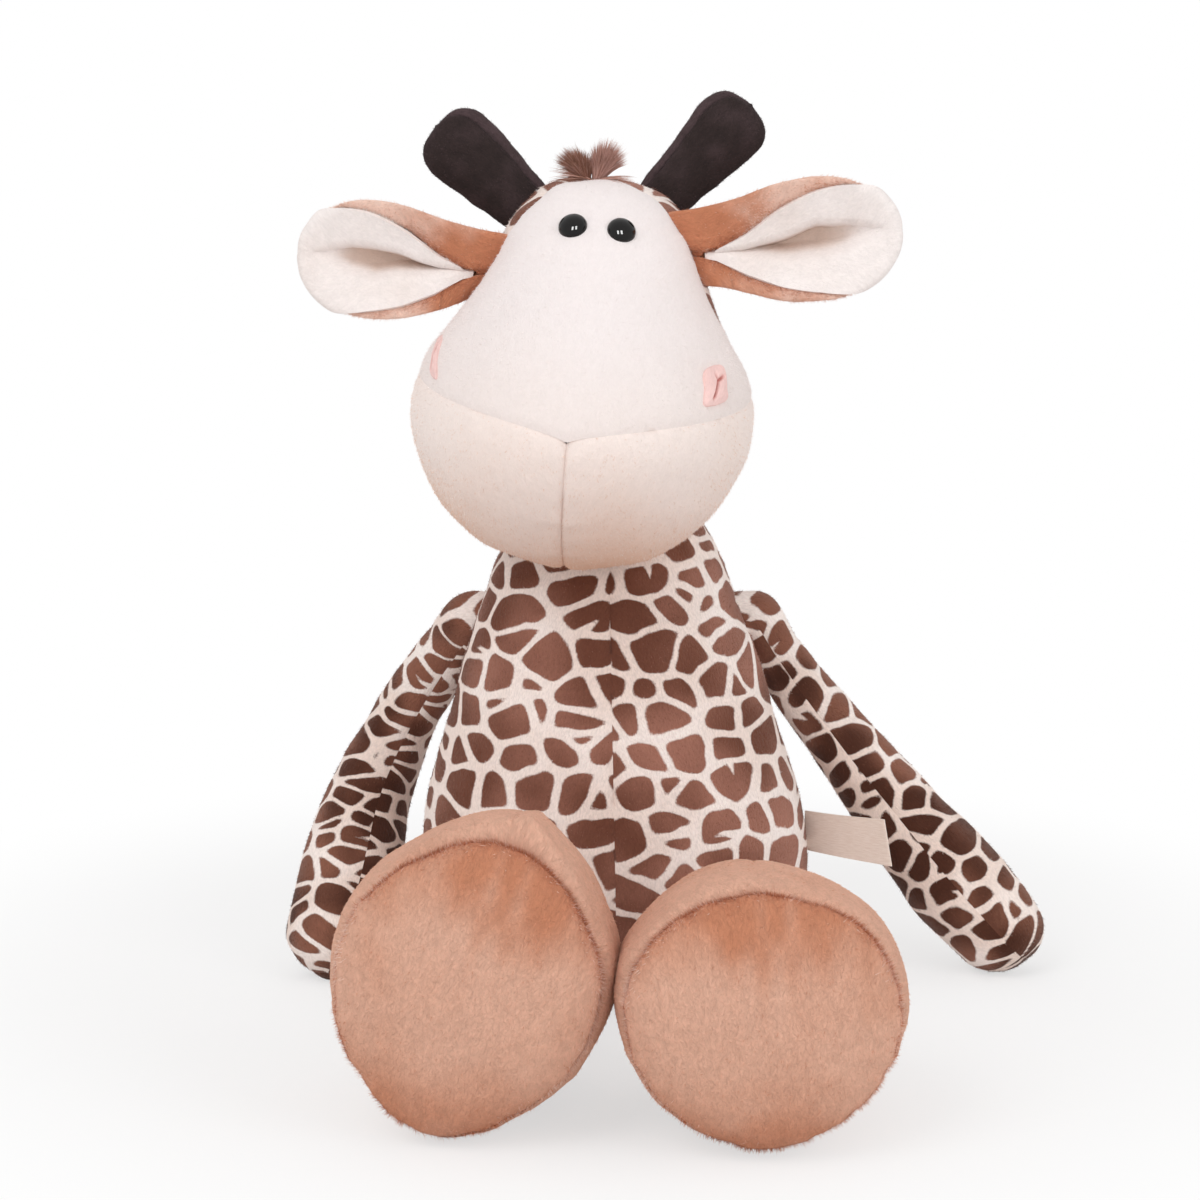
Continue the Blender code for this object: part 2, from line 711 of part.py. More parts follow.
def make_head():
    last = len(HEAD.rings) - 1
    quarter = HEAD_SEGMENTS // 4
    half = SEAM_GAP / 2
    up, down = Z * half, -Z * half
    front, back = -Y * half, Y * half
    right, left = X * half, -X * half
    face = HEAD.panel(
        "face_panel",
        "white_plush",
        HEAD_PIVOT,
        (0, SMILE_RING),
        (-quarter, quarter),
        front + up,
    )
    muzzles = [
        HEAD.panel(
            "muzzle_right_panel",
            "cream_plush",
            HEAD_PIVOT,
            (SMILE_RING, last),
            (0, quarter),
            front + down + right,
        ),
        HEAD.panel(
            "muzzle_left_panel",
            "cream_plush",
            HEAD_PIVOT,
            (SMILE_RING, last),
            (-quarter, 0),
            front + down + left,
        ),
    ]
    backs = [
        HEAD.panel(
            "head_back_right_panel",
            "print_plush",
            HEAD_PIVOT,
            (0, last),
            (quarter, 2 * quarter),
            back + right,
        ),
        HEAD.panel(
            "head_back_left_panel",
            "print_plush",
            HEAD_PIVOT,
            (0, last),
            (2 * quarter, 3 * quarter),
            back + left,
        ),
    ]
    depth = CLOTH + STUFFING_GAP
    stuffing = HEAD.filling("head_stuffing", "stuffing", HEAD_PIVOT, (0, last), depth)
    socket = hollow_ball("cutter_neck_socket", neck_middle(), NECK_RADIUS + SOCKET_GAP)
    for panel in [face, stuffing] + muzzles + backs:
        cut(panel, socket)
    make_eyes(face, stuffing)


def make_eyes(face, stuffing):
    """Domed plastic eyes, each with a shank through the face and a washer pressed on behind it."""
    for side, sign in SIDES.items():
        point, out = face_spot(sign * EYE_SPACING / 2, HEAD_HEIGHT * EYE_LEVEL_SHARE)
        base = point - out * EYE_SINK
        tip = base + out * EYE_HEIGHT
        low = -EYE_SHANK_LENGTH
        profile = [(0, low), (EYE_SHANK_RADIUS, low), (EYE_SHANK_RADIUS, 0)]
        for k in range(EYE_DOME_STEPS):
            a = math.pi / 2 * k / EYE_DOME_STEPS
            profile.append((EYE_RADIUS * math.cos(a), EYE_HEIGHT * math.sin(a)))
        profile.append((0, EYE_HEIGHT))
        turned("eye_" + side, profile, base, tip, HEAD_PIVOT, "eye_black", EYE_SEGMENTS)
        washer_top = -CLOTH - EYE_SINK - SEAT_GAP
        washer_low = washer_top - WASHER_THICKNESS
        bore = EYE_SHANK_RADIUS + WASHER_BORE_GAP
        ring = (
            (bore, washer_low),
            (WASHER_RADIUS, washer_low),
            (WASHER_RADIUS, washer_top),
            (bore, washer_top),
        )
        name = "eye_washer_" + side
        turned(name, ring, base, tip, HEAD_PIVOT, "washer_plastic", EYE_SEGMENTS)
        seat = EYE_RADIUS + SEAT_GAP
        hole = EYE_SHANK_RADIUS + SEAT_GAP
        pocket = WASHER_RADIUS + SEAT_GAP
        pocket_low = low - SEAT_GAP
        through = (
            (0, pocket_low),
            (hole, pocket_low),
            (hole, -SEAT_GAP),
            (seat, -SEAT_GAP),
            (seat, OVERRUN),
            (0, OVERRUN),
        )
        cut(face, turned("cutter_eye_" + side, through, base, tip, HEAD_PIVOT))
        room = ((0, pocket_low), (pocket, pocket_low), (pocket, OVERRUN), (0, OVERRUN))
        cut(stuffing, turned("cutter_eye_room_" + side, room, base, tip, HEAD_PIVOT))


def face_spot(x, level):
    """The face's point at this place across and up, and its outward direction."""
    low, high = -math.pi / 2, math.pi / 2
    for _ in range(24):
        angle = (low + high) / 2
        point, out = HEAD.surface(level, angle)
        if point[0] < x:
            low = angle
        else:
            high = angle
    return point, out


def make_nostrils():
    """Small pink patches sewn over the muzzle's sides, curved like the cloth under them."""
    rows = columns = NOSTRIL_STEPS
    for side, sign in SIDES.items():
        spread = NOSTRIL_WIDTH / HEAD_HALF_WIDTH
        outer, inner = [], []
        for i in range(rows + 1):
            share = 2 * i / rows - 1
            bulge = math.sqrt(1 - NOSTRIL_ROUNDING_SHARE * share**2)
            for j in range(columns + 1):
                turn = NOSTRIL_ANGLE + spread * bulge * (j / columns - 0.5)
                level = HEAD_HEIGHT * NOSTRIL_LEVEL_SHARE + share * NOSTRIL_HEIGHT / 2
                point, out = HEAD.surface(level, sign * turn)
                inner.append(point + out * NOSTRIL_GAP)
                outer.append(point + out * (NOSTRIL_GAP + NOSTRIL_THICKNESS))
        points, faces = slab(outer, inner, rows, columns)
        piece("nostril_" + side, points, faces, "pink_plush", HEAD_PIVOT)


def slab(outer, inner, rows, columns):
    """The closed solid between two grids of points of rows + 1 by columns + 1."""
    wide = columns + 1
    count = len(outer)
    points = list(outer) + list(inner)
    faces = []
    for i in range(rows):
        for j in range(columns):
            a, b = i * wide + j, i * wide + j + 1
            c, d = a + wide, b + wide
            faces.append([a, b, d, c])
            faces.append([count + a, count + c, count + d, count + b])
    rim = list(range(columns))
    rim += [i * wide + columns for i in range(rows)]
    rim += [rows * wide + j for j in range(columns, 0, -1)]
    rim += [i * wide for i in range(rows, 0, -1)]
    for a, b in zip(rim, rim[1:] + rim[:1]):
        faces.append([b, a, count + a, count + b])
    return points, faces


def make_horns():
    """Flattened club-shaped horns, each of two panels with its seam along the edges."""
    shell = HEAD.filling("cutter_head_shape", None, HEAD_PIVOT, (0, len(HEAD.rings) - 1), -SEAT_GAP)
    for side in SIDES:
        splay = HORN_SPLAY[side]
        way = np.array((math.sin(splay), 0, math.cos(splay)))
        edge = np.array((math.cos(splay), 0, -math.sin(splay)))
        level = HEAD_HEIGHT * HORN_ROOT_LEVEL_SHARE[side]
        root = np.array((HORN_ROOT_SPREAD[side], HORN_SETBACK, level))
        root = root - way * HORN_ROOT_LENGTH
        rings = []
        whole = HORN_LENGTH + HORN_ROOT_LENGTH
        for along, size in smooth_rows(HORN_SHARES):
            width, depth = HORN_HALF_WIDTH * size, HORN_HALF_DEPTH * size
            rings.append((root + way * whole * along, -Y, edge, depth, width, width))
        form = Form(rings, HORN_SEGMENTS)
        name = "horn_" + side
        last = len(rings) - 1
        names = (name + "_front_panel", name + "_back_panel")
        panels = half_panels(form, names, "dark_plush", HEAD_PIVOT, (0, last), -Y)
        depth = CLOTH + STUFFING_GAP
        core = form.filling(name + "_stuffing", "stuffing", HEAD_PIVOT, (0, last), depth)
        for part in panels + (core,):
            cut(part, shell)


def ear_seam(side, rise=0):
    """The head's side seam at this rise above the middle of the ear."""
    level = HEAD_HEIGHT * EAR_LEVEL_SHARE[side] + rise
    point, _ = HEAD.surface(level, SIDES[side] * math.pi / 2)
    return point


def ear_root(side):
    """Where the ear is sewn on, just outside the head's side seam."""
    return ear_seam(side) + X * SIDES[side] * (EAR_SEAT_GAP + SEAM_GAP)


def make_ears():
    """Cupped ears: a tan back that wraps round the rims, and a pale lining inside the cup."""
    rows = smooth_rows(EAR_SHARES)
    for side, sign in SIDES.items():
        lift = EAR_LIFT[side]
        way = np.array((sign * math.cos(lift), 0, math.sin(lift)))
        up = np.array((-sign * math.sin(lift), 0, math.cos(lift)))

        def grid(start, lined, level):
            points = []
            for along, width, cup, low, high in rows[start:]:
                thick = EAR_ROOT_THICKNESS_SHARE
                thick = min(1, thick + (1 - thick) * along * EAR_THICKENING)
                low, high = (low, high) if lined else (-1, 1)
                for j in range(EAR_SEGMENTS + 1):
                    t = low + (high - low) * j / EAR_SEGMENTS
                    fold = 1 - abs(t) ** EAR_FOLD_POWER
                    deep = EAR_CUP * cup * (fold - EAR_MIDDLE_SHARE) + level * thick
                    rise = EAR_HALF_WIDTH * width * t
                    follow = max(0, 1 - along / EAR_FOLLOW_SHARE) ** EAR_FOLLOW_POWER
                    seam = ear_seam(side, rise * math.cos(lift)) - ear_seam(side)
                    start_x = sign * seam[0] + rise * math.sin(lift)
                    point = way * EAR_LENGTH[side] * along + up * rise + Y * (deep + follow * seam[1])
                    points.append(point + X * sign * follow * start_x)
            return points

        first = 2 * EAR_LINING_STEPS - 1
        count = len(rows) - 1
        back = EAR_THICKNESS / 2
        points, faces = slab(grid(0, False, back), grid(0, False, -back), count, EAR_SEGMENTS)
        piece("ear_" + side + "_back", points, faces, "tan_plush", EAR_PIVOTS[side])
        near = -back - SEAT_GAP
        far = near - EAR_LINING_THICKNESS
        inner = grid(first, True, near)[: -(EAR_SEGMENTS + 1)]
        outer = grid(first, True, far)[: -(EAR_SEGMENTS + 1)]
        points, faces = slab(inner, outer, count - first - 1, EAR_SEGMENTS)
        piece("ear_" + side + "_lining", points, faces, "white_plush", EAR_PIVOTS[side])


def make_tuft():
    """The hair on the crown: a low fan of locks, higher to the right of its parting."""
    crown = HEAD.rings[0][0] + Z * SEAT_GAP
    points, rows = [], []
    for i in range(TUFT_RINGS + 1):
        a = math.pi / 2 * i / TUFT_RINGS
        ring = []
        for k in range(TUFT_SEGMENTS):
            v = 2 * math.pi * k / TUFT_SEGMENTS
            groove = 1 - TUFT_LOCK_SHARE * (1 + math.cos(TUFT_LOCKS * v))
            reach = math.cos(a) * (1 + TUFT_FLARE_SHARE * math.sin(2 * a)) * groove
            side = math.sin(v) * reach
            x = TUFT_WIDTH / 2 * side
            y = TUFT_DEPTH / 2 * math.cos(v) * reach
            lobe = 1 - TUFT_PARTING_SHARE * math.cos(math.pi * min(1, abs(side))) * math.sin(a)
            z = TUFT_HEIGHT * math.sin(a) * lobe * (1 + TUFT_RIGHT_SHARE * side)
            ring.append(len(points))
            points.append(crown + np.array((x, y, z)))
            if i == TUFT_RINGS:
                break
        rows.append(ring)
    faces = [list(reversed(rows[0]))]
    for low, high in zip(rows, rows[1:]):
        for k in range(TUFT_SEGMENTS):
            corners = (
                low[k],
                low[(k + 1) % TUFT_SEGMENTS],
                high[(k + 1) % len(high)],
                high[k % len(high)],
            )
            faces.append(list(dict.fromkeys(corners)))
    piece("hair_tuft", points, faces, "brown_hair", HEAD_PIVOT)


def make_arms():
    for side, sign in SIDES.items():
        start = np.zeros(3)
        drop = shoulder(side)[2] - ARM_HAND_RADIUS
        chord = ARM_LENGTH * ARM_CHORD_SHARE[side]
        ahead = ARM_HAND_FORWARD[side]
        reach = math.sqrt(max(0, chord**2 - drop**2 - ahead**2))
        end = np.array((sign * reach, -ahead, -drop))
        outward = np.array((sign * drop, 0, -reach)) / math.hypot(drop, reach)
        bow = Y * ARM_BOW_BACK[side] + outward * ARM_BOW_OUT[side]
        knots = [share for share, _ in ARM_SHARES]
        sizes = [size for _, size in ARM_SHARES]

        def radius(share):
            size = np.interp(share, knots, sizes)
            return ARM_ROOT_RADIUS + (ARM_HAND_RADIUS - ARM_ROOT_RADIUS) * size

        floor = -shoulder(side)[2]
        form, across = tube_form(start, bow, end, knots, radius, ARM_SEGMENTS, floor)
        name = "arm_" + side
        last = len(form.rings) - 1
        names = (name + "_outer_panel", name + "_inner_panel")
        if across[0] * sign < 0:
            names = names[::-1]
        half_panels(form, names, "print_plush", ARM_PIVOTS[side], (0, last), across)
        depth = CLOTH + STUFFING_GAP
        form.filling(name + "_stuffing", "stuffing", ARM_PIVOTS[side], (0, last), depth)


def foot_axes(side):
    turn = FOOT_TURN[side]
    ahead = np.array((math.sin(turn), -math.cos(turn), 0))
    across = np.array((math.cos(turn), math.sin(turn), 0))
    return ahead, across


def rolled(across, roll):
    """A foot's own directions across and up."""
    return across * math.cos(roll) - Z * math.sin(roll), Z * math.cos(roll) + across * math.sin(roll)


def make_legs():
    """Short legs that run forwards along the floor into big round feet."""
    depth = CLOTH + STUFFING_GAP
    for side in SIDES:
        ahead, across = foot_axes(side)
        start = np.zeros(3)
        whole = FOOT_LENGTH[side]
        middle_x = FOOT_MIDDLE[side] - hip(side)[0]
        rise = FOOT_HALF_HEIGHT[side] - HIP_HEIGHT
        ankle_x = middle_x - ahead[0] * whole * FOOT_SHARES[FOOT_TOE_RING][0]
        ankle = np.array((ankle_x, -LEG_LENGTH, ANKLE_RADIUS + SEAT_GAP - HIP_HEIGHT))
        control = ankle - ahead * LEG_LENGTH / 2
        rings = []
        for k in range(LEG_STEPS + 1):
            share = k / LEG_STEPS
            middle, way = bend(start, control, ankle, share)
            side_way = np.cross(way, Z)
            side_way /= np.linalg.norm(side_way)
            if side_way[0] < 0:
                side_way = -side_way
            upright = np.cross(side_way, way)
            upright *= np.sign(upright[2])
            size = LEG_RADIUS + (ANKLE_RADIUS - LEG_RADIUS) * share
            if k == 0:
                rings += cap_rings(middle, way, side_way, upright, size, LEG_CAP_STEPS, -1)
            if k == LEG_STEPS:
                middle, side_way, upright = ankle, across, Z
            rings.append((middle, side_way, upright, size, size, size))
        leg = Form(rings, LEG_SEGMENTS, floor=-HIP_HEIGHT)
        name = "leg_" + side
        last = len(rings) - 1
        names = (name + "_right_panel", name + "_left_panel")
        pivot_of = LEG_PIVOTS[side]
        half_panels(leg, names, "print_plush", pivot_of, (0, last), across)
        leg.filling(name + "_stuffing", "stuffing", pivot_of, (0, last), depth)
        make_foot(side, ankle + ahead * SEAM_GAP, ahead, across, rise)


def make_foot(side, ankle, ahead, across, rise):
    depth = CLOTH + STUFFING_GAP
    half_width, half_height = FOOT_HALF_WIDTH[side], FOOT_HALF_HEIGHT[side]
    rings = []
    top = rise - ankle[2]
    wide, tall = rolled(across, FOOT_ROLL[side])
    for along, size in FOOT_SHARES:
        if size < 0:
            middle = ankle + ahead * FOOT_LENGTH[side] * along + Z * top
            rings.append((middle, wide, tall, 0, 0, 0))
            continue
        opening = ANKLE_RADIUS if along < FOOT_SHARES[FOOT_TOE_RING][0] else 0
        width = opening + (half_width - opening) * size
        height = opening + (half_height - opening) * size
        lift = top * (size if opening else 1)
        middle = ankle + ahead * FOOT_LENGTH[side] * along + Z * lift
        rings.append((middle, wide, tall, width, height, height))
    foot = Form(rings, FOOT_SEGMENTS, floor=-HIP_HEIGHT, egg=FOOT_EGG_SHARE)
    name = "foot_" + side
    last = len(rings) - 1
    pivot_of = LEG_PIVOTS[side]
    names = (name + "_right_upper", name + "_left_upper")
    half_panels(foot, names, "tan_plush", pivot_of, (0, SOLE_RING), wide)
    forward = ahead * SEAM_GAP
    around = (0, FOOT_SEGMENTS)
    foot.panel(name + "_sole", "tan_plush", pivot_of, (SOLE_RING, last), around, forward)
    foot.filling(name + "_stuffing", "stuffing", pivot_of, (0, last), depth, ahead * SEAM_GAP)


def tail_root():
    point, out = BODY.surface(body_height(TAIL_HEIGHT_SHARE), math.pi)
    return point + out * (TAIL_RADIUS + SEAT_GAP + SEAM_GAP)


def make_tail():
    """A slim hanging tail with a dark brush, as such toys have."""
    start = np.zeros(3)
    end = Y * TAIL_BACK - Z * TAIL_LENGTH
    bow = Y * TAIL_BOW
    form, _ = tube_form(start, bow, end, TAIL_SHARES, lambda share: TAIL_RADIUS, TAIL_SEGMENTS)
    form.filling("tail", "print_plush", TAIL_PIVOT, (0, len(form.rings) - 1), 0)
    low = TAIL_RADIUS + SEAT_GAP
    profile = [(BRUSH_RADIUS * size, low + BRUSH_LENGTH * down) for size, down in BRUSH_SHARES]
    turned("tail_brush", profile, end, end - Z, TAIL_PIVOT, "dark_plush", TAIL_SEGMENTS)


def label_root():
    point, out = BODY.surface(body_height(LABEL_HEIGHT_SHARE), math.pi / 2)
    return point + out * (SEAM_GAP + LABEL_SEAT_GAP)


def make_label():
    """A folded ribbon, sewn into the right side seam: two plies joined at the outer fold."""
    way = np.array((math.cos(LABEL_SWING), -math.sin(LABEL_SWING), 0))
    side = np.array((way[1], -way[0], 0))
    tall = Z * math.cos(LABEL_TILT)
    inner = LABEL_PLY_GAP / 2
    outer = inner + LABEL_PLY
    fold = LABEL_LENGTH - outer
    outline = [(0, outer), (fold, outer)]
    for k in range(1, LABEL_FOLD_STEPS):
        a = math.pi * k / LABEL_FOLD_STEPS
        outline.append((fold + outer * math.sin(a), outer * math.cos(a)))
    outline += [(fold, -outer), (0, -outer), (0, -inner), (fold, -inner)]
    outline += [(fold, inner), (0, inner)]
    droop = math.tan(LABEL_TILT)
    points = []
    for end in (-0.5, 0.5):
        for along, off in outline:
            points.append(way * along + side * off + tall * end * LABEL_HEIGHT + Z * along * droop)
    n = len(outline)
    faces = [list(range(n)), list(range(2 * n - 1, n - 1, -1))]
    for k in range(n):
        a, b = k, (k + 1) % n
        faces.append([b, a, n + a, n + b])
    piece("label_ribbon", points, faces, "satin_ribbon", LABEL_PIVOT, smooth=False)


clear_scene()
BODY = body_form()
HEAD = head_form()
BODY_PIVOT = pivot("body_frame", (0, 0, 0))
NECK_PIVOT = pivot("neck_pivot", neck_middle())
HEAD_TURN_PIVOT = pivot("head_pivot", neck_middle())
HEAD_PIVOT = pivot("head_frame", (HEAD_OFFSET, 0, 0), HEAD_TURN_PIVOT, HEAD_TURN, HEAD_ROLL)
EAR_PIVOTS = {s: pivot("ear_pivot_" + s, ear_root(s), HEAD_PIVOT) for s in SIDES}
ARM_PIVOTS = {s: pivot("arm_pivot_" + s, shoulder(s)) for s in SIDES}
LEG_PIVOTS = {s: pivot("leg_pivot_" + s, hip(s)) for s in SIDES}
TAIL_PIVOT = pivot("tail_pivot", tail_root())
LABEL_PIVOT = pivot("label_pivot", label_root())
make_body()
make_neck()
make_head()
make_nostrils()
make_horns()
make_ears()
make_tuft()
make_arms()
make_legs()
make_tail()
make_label()
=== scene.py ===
"""The looks of a sitting plush giraffe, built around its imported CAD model.

Every stuffed member is a skin: a smooth surface through rings along a spine. Each sewn panel is a
patch of a skin with creased edges, cloth thickness, a print or nap, and a pile of short fibres.
"""

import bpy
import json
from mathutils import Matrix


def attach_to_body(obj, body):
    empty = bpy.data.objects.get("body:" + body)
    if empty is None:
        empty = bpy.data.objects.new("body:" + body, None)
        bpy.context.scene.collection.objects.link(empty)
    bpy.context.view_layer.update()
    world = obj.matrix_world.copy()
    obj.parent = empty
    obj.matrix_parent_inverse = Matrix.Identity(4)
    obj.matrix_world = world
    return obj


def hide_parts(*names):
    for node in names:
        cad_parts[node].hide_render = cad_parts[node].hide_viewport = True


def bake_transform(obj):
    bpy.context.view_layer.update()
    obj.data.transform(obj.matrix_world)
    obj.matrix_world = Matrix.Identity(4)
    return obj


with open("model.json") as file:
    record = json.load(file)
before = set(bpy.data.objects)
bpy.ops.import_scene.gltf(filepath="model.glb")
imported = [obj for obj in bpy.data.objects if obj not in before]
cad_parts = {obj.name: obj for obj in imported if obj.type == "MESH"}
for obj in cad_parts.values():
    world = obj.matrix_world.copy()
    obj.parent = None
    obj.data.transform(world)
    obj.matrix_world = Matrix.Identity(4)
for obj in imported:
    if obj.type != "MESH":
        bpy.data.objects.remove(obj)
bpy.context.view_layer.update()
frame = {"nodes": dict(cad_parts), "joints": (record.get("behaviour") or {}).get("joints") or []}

import json
import math

import bpy
import numpy as np
from mathutils import Euler, Matrix, Vector

X, Y, Z = np.eye(3)
TURN, QUARTER = 2 * math.pi, math.pi / 2
SIDES = {"left": -1, "right": 1}
JOINTS = {joint["name"]: np.array(joint["pos_m"]) for joint in frame["joints"]}
random = np.random.default_rng(7)

# Noise and curves


def lattice(cell, seed):
    """A steady random number of -1 to 1 for each whole-number cell."""
    mask = np.uint64(0xFFFFFFFF)
    big = cell.astype(np.int64).astype(np.uint64)
    h = big[..., 0] * np.uint64(374761393) + big[..., 1] * np.uint64(668265263)
    h = (h + big[..., 2] * np.uint64(2246822519) + np.uint64(seed * 3266489917)) & mask
    h = ((h ^ (h >> np.uint64(13))) * np.uint64(1274126177)) & mask
    h = ((h ^ (h >> np.uint64(16))) * np.uint64(2654435761)) & mask
    h = h ^ (h >> np.uint64(15))
    return h.astype(float) / 2147483647.5 - 1


def noise(points, size, seed=0):
    """Smooth noise of -1 to 1 with features of this size."""
    place = np.asarray(points, float) / size
    base = np.floor(place)
    f = place - base
    f = f * f * (3 - 2 * f)
    total = np.zeros(place.shape[:-1])
    for corner in np.ndindex(2, 2, 2):
        c = np.array(corner)
        weight = np.prod(np.where(c == 1, f, 1 - f), axis=-1)
        total += weight * lattice(base + c, seed)
    return total


def mottle(points, layers):
    """The sum of layers of noise, each a strength, a size and a seed."""
    return sum(strength * noise(points, size, seed) for strength, size, seed in layers)


def unit(v):
    return v / np.maximum(np.linalg.norm(v, axis=-1, keepdims=True), 1e-12)


def steps_of(points):
    """The running length along the first axis."""
    lengths = np.linalg.norm(np.diff(points, axis=0), axis=-1)
    return np.concatenate([np.zeros((1,) + lengths.shape[1:]), np.cumsum(lengths, axis=0)])


def wrapped(angle):
    """The angle as one of half a turn to either side."""
    return (angle + math.pi) % TURN - math.pi


def sideways(angle):
    """1 at either side, 0 at the front and the back."""
    return 1 - np.abs(np.abs(wrapped(angle)) / QUARTER - 1)


def curve(start, control, end, share):
    """The point and the direction at this share of a bent spine."""
    point = start * (1 - share) ** 2 + 2 * control * share * (1 - share) + end * share**2
    return point, unit(2 * (control - start) * (1 - share) + 2 * (end - control) * share)


def round_end(middle, way, across, ahead, radius, sign):
    """The rings of a round end, from its pole to just before the full ring."""
    rings, count = [], 3
    for k in range(count):
        a = QUARTER * k / count
        size = radius * math.sin(a)
        rings.append((middle + way * sign * radius * math.cos(a), across, ahead, size, size, size))
    return rings


class Skin:
    """A stuffed shape: rings (middle, across, ahead, width, front, back) along a spine.

    warp turns the columns and shift moves the rows, both by row and column.
    """

    def __init__(self, rings, warp=None, floor=None, matrix=None, shift=None, egg=0, corners=0):
        rows = np.array([np.hstack(ring) for ring in rings])
        ends = []
        for here, near in ((0, 1), (-1, -2)):
            ghost = rows[near].copy()
            if np.all(rows[here, 9:] == 0):
                ghost[9:] *= -1
            else:
                ghost = 2 * rows[here] - rows[near]
            ends.append(ghost)
        self.poles = [bool(np.all(rows[k, 9:] == 0)) for k in (0, -1)]
        self.rows = np.vstack([ends[0], rows, ends[1]])
        self.count = len(rings) - 1
        self.warp, self.shift, self.matrix = warp, shift, matrix
        self.floor, self.egg, self.corners = floor, egg, corners

    def ring(self, t):
        t = np.clip(t, 0, self.count)
        i = np.clip(np.floor(t).astype(int), 0, self.count - 1)
        f = (t - i)[..., None]
        a, b, c, d = (self.rows[i + k] for k in range(4))
        return b + f / 2 * (c - a + f * (2 * a - 5 * b + 4 * c - d + f * (3 * b - 3 * c + d - a)))

    def points(self, t, v):
        """The skin at each row t and column v, as an array of len(t) by len(v)."""
        angle = np.broadcast_to(v[None, :], (len(t), len(v)))
        at = t[:, None]
        if self.shift:
            at = at + self.shift(at, angle)
        r = self.ring(at)
        if self.warp:
            angle = angle + self.warp(at, angle)
        blunt = 1 + self.corners * np.cos(4 * angle)
        s, c = np.sin(angle) * blunt, np.cos(angle) * blunt
        reach = np.where(c >= 0, r[..., 10], r[..., 11]) * c
        out = r[..., 0:3] + r[..., 3:6] * (s * r[..., 9] * (1 + self.egg * c))[..., None]
        out = out + r[..., 6:9] * reach[..., None]
        if self.floor is not None:
            out[..., 2] = np.maximum(out[..., 2], self.floor)
        return out

    def normals(self, t, v):
        e = 0.02
        low = e if self.poles[0] else 0
        high = self.count - (e if self.poles[1] else 0)
        t = np.clip(t, low, high)
        before, after = np.clip(t - e, 0, self.count), np.clip(t + e, 0, self.count)
        along = self.points(after, v) - self.points(before, v)
        around = self.points(t, v + e) - self.points(t, v - e)
        n = unit(np.cross(around, along))
        outward = self.points(t, v) - self.ring(t)[:, None, 0:3]
        return n * np.sign((n * outward).sum() or 1)

    def world(self, points, turn_only=False):
        if self.matrix is None:
            return points
        m = np.array(self.matrix)
        moved = points @ m[:3, :3].T
        return moved if turn_only else moved + m[:3, 3]


PUCKER_SIZE, PUCKER_REACH, PUCKER_START = 0.0045, 0.006, 0.0012
SEAM_UNEVEN = ((0.35, 0.006, 12),)
USUAL_TONE = ((0.5, 0.03, 51), (0.25, 0.012, 52))


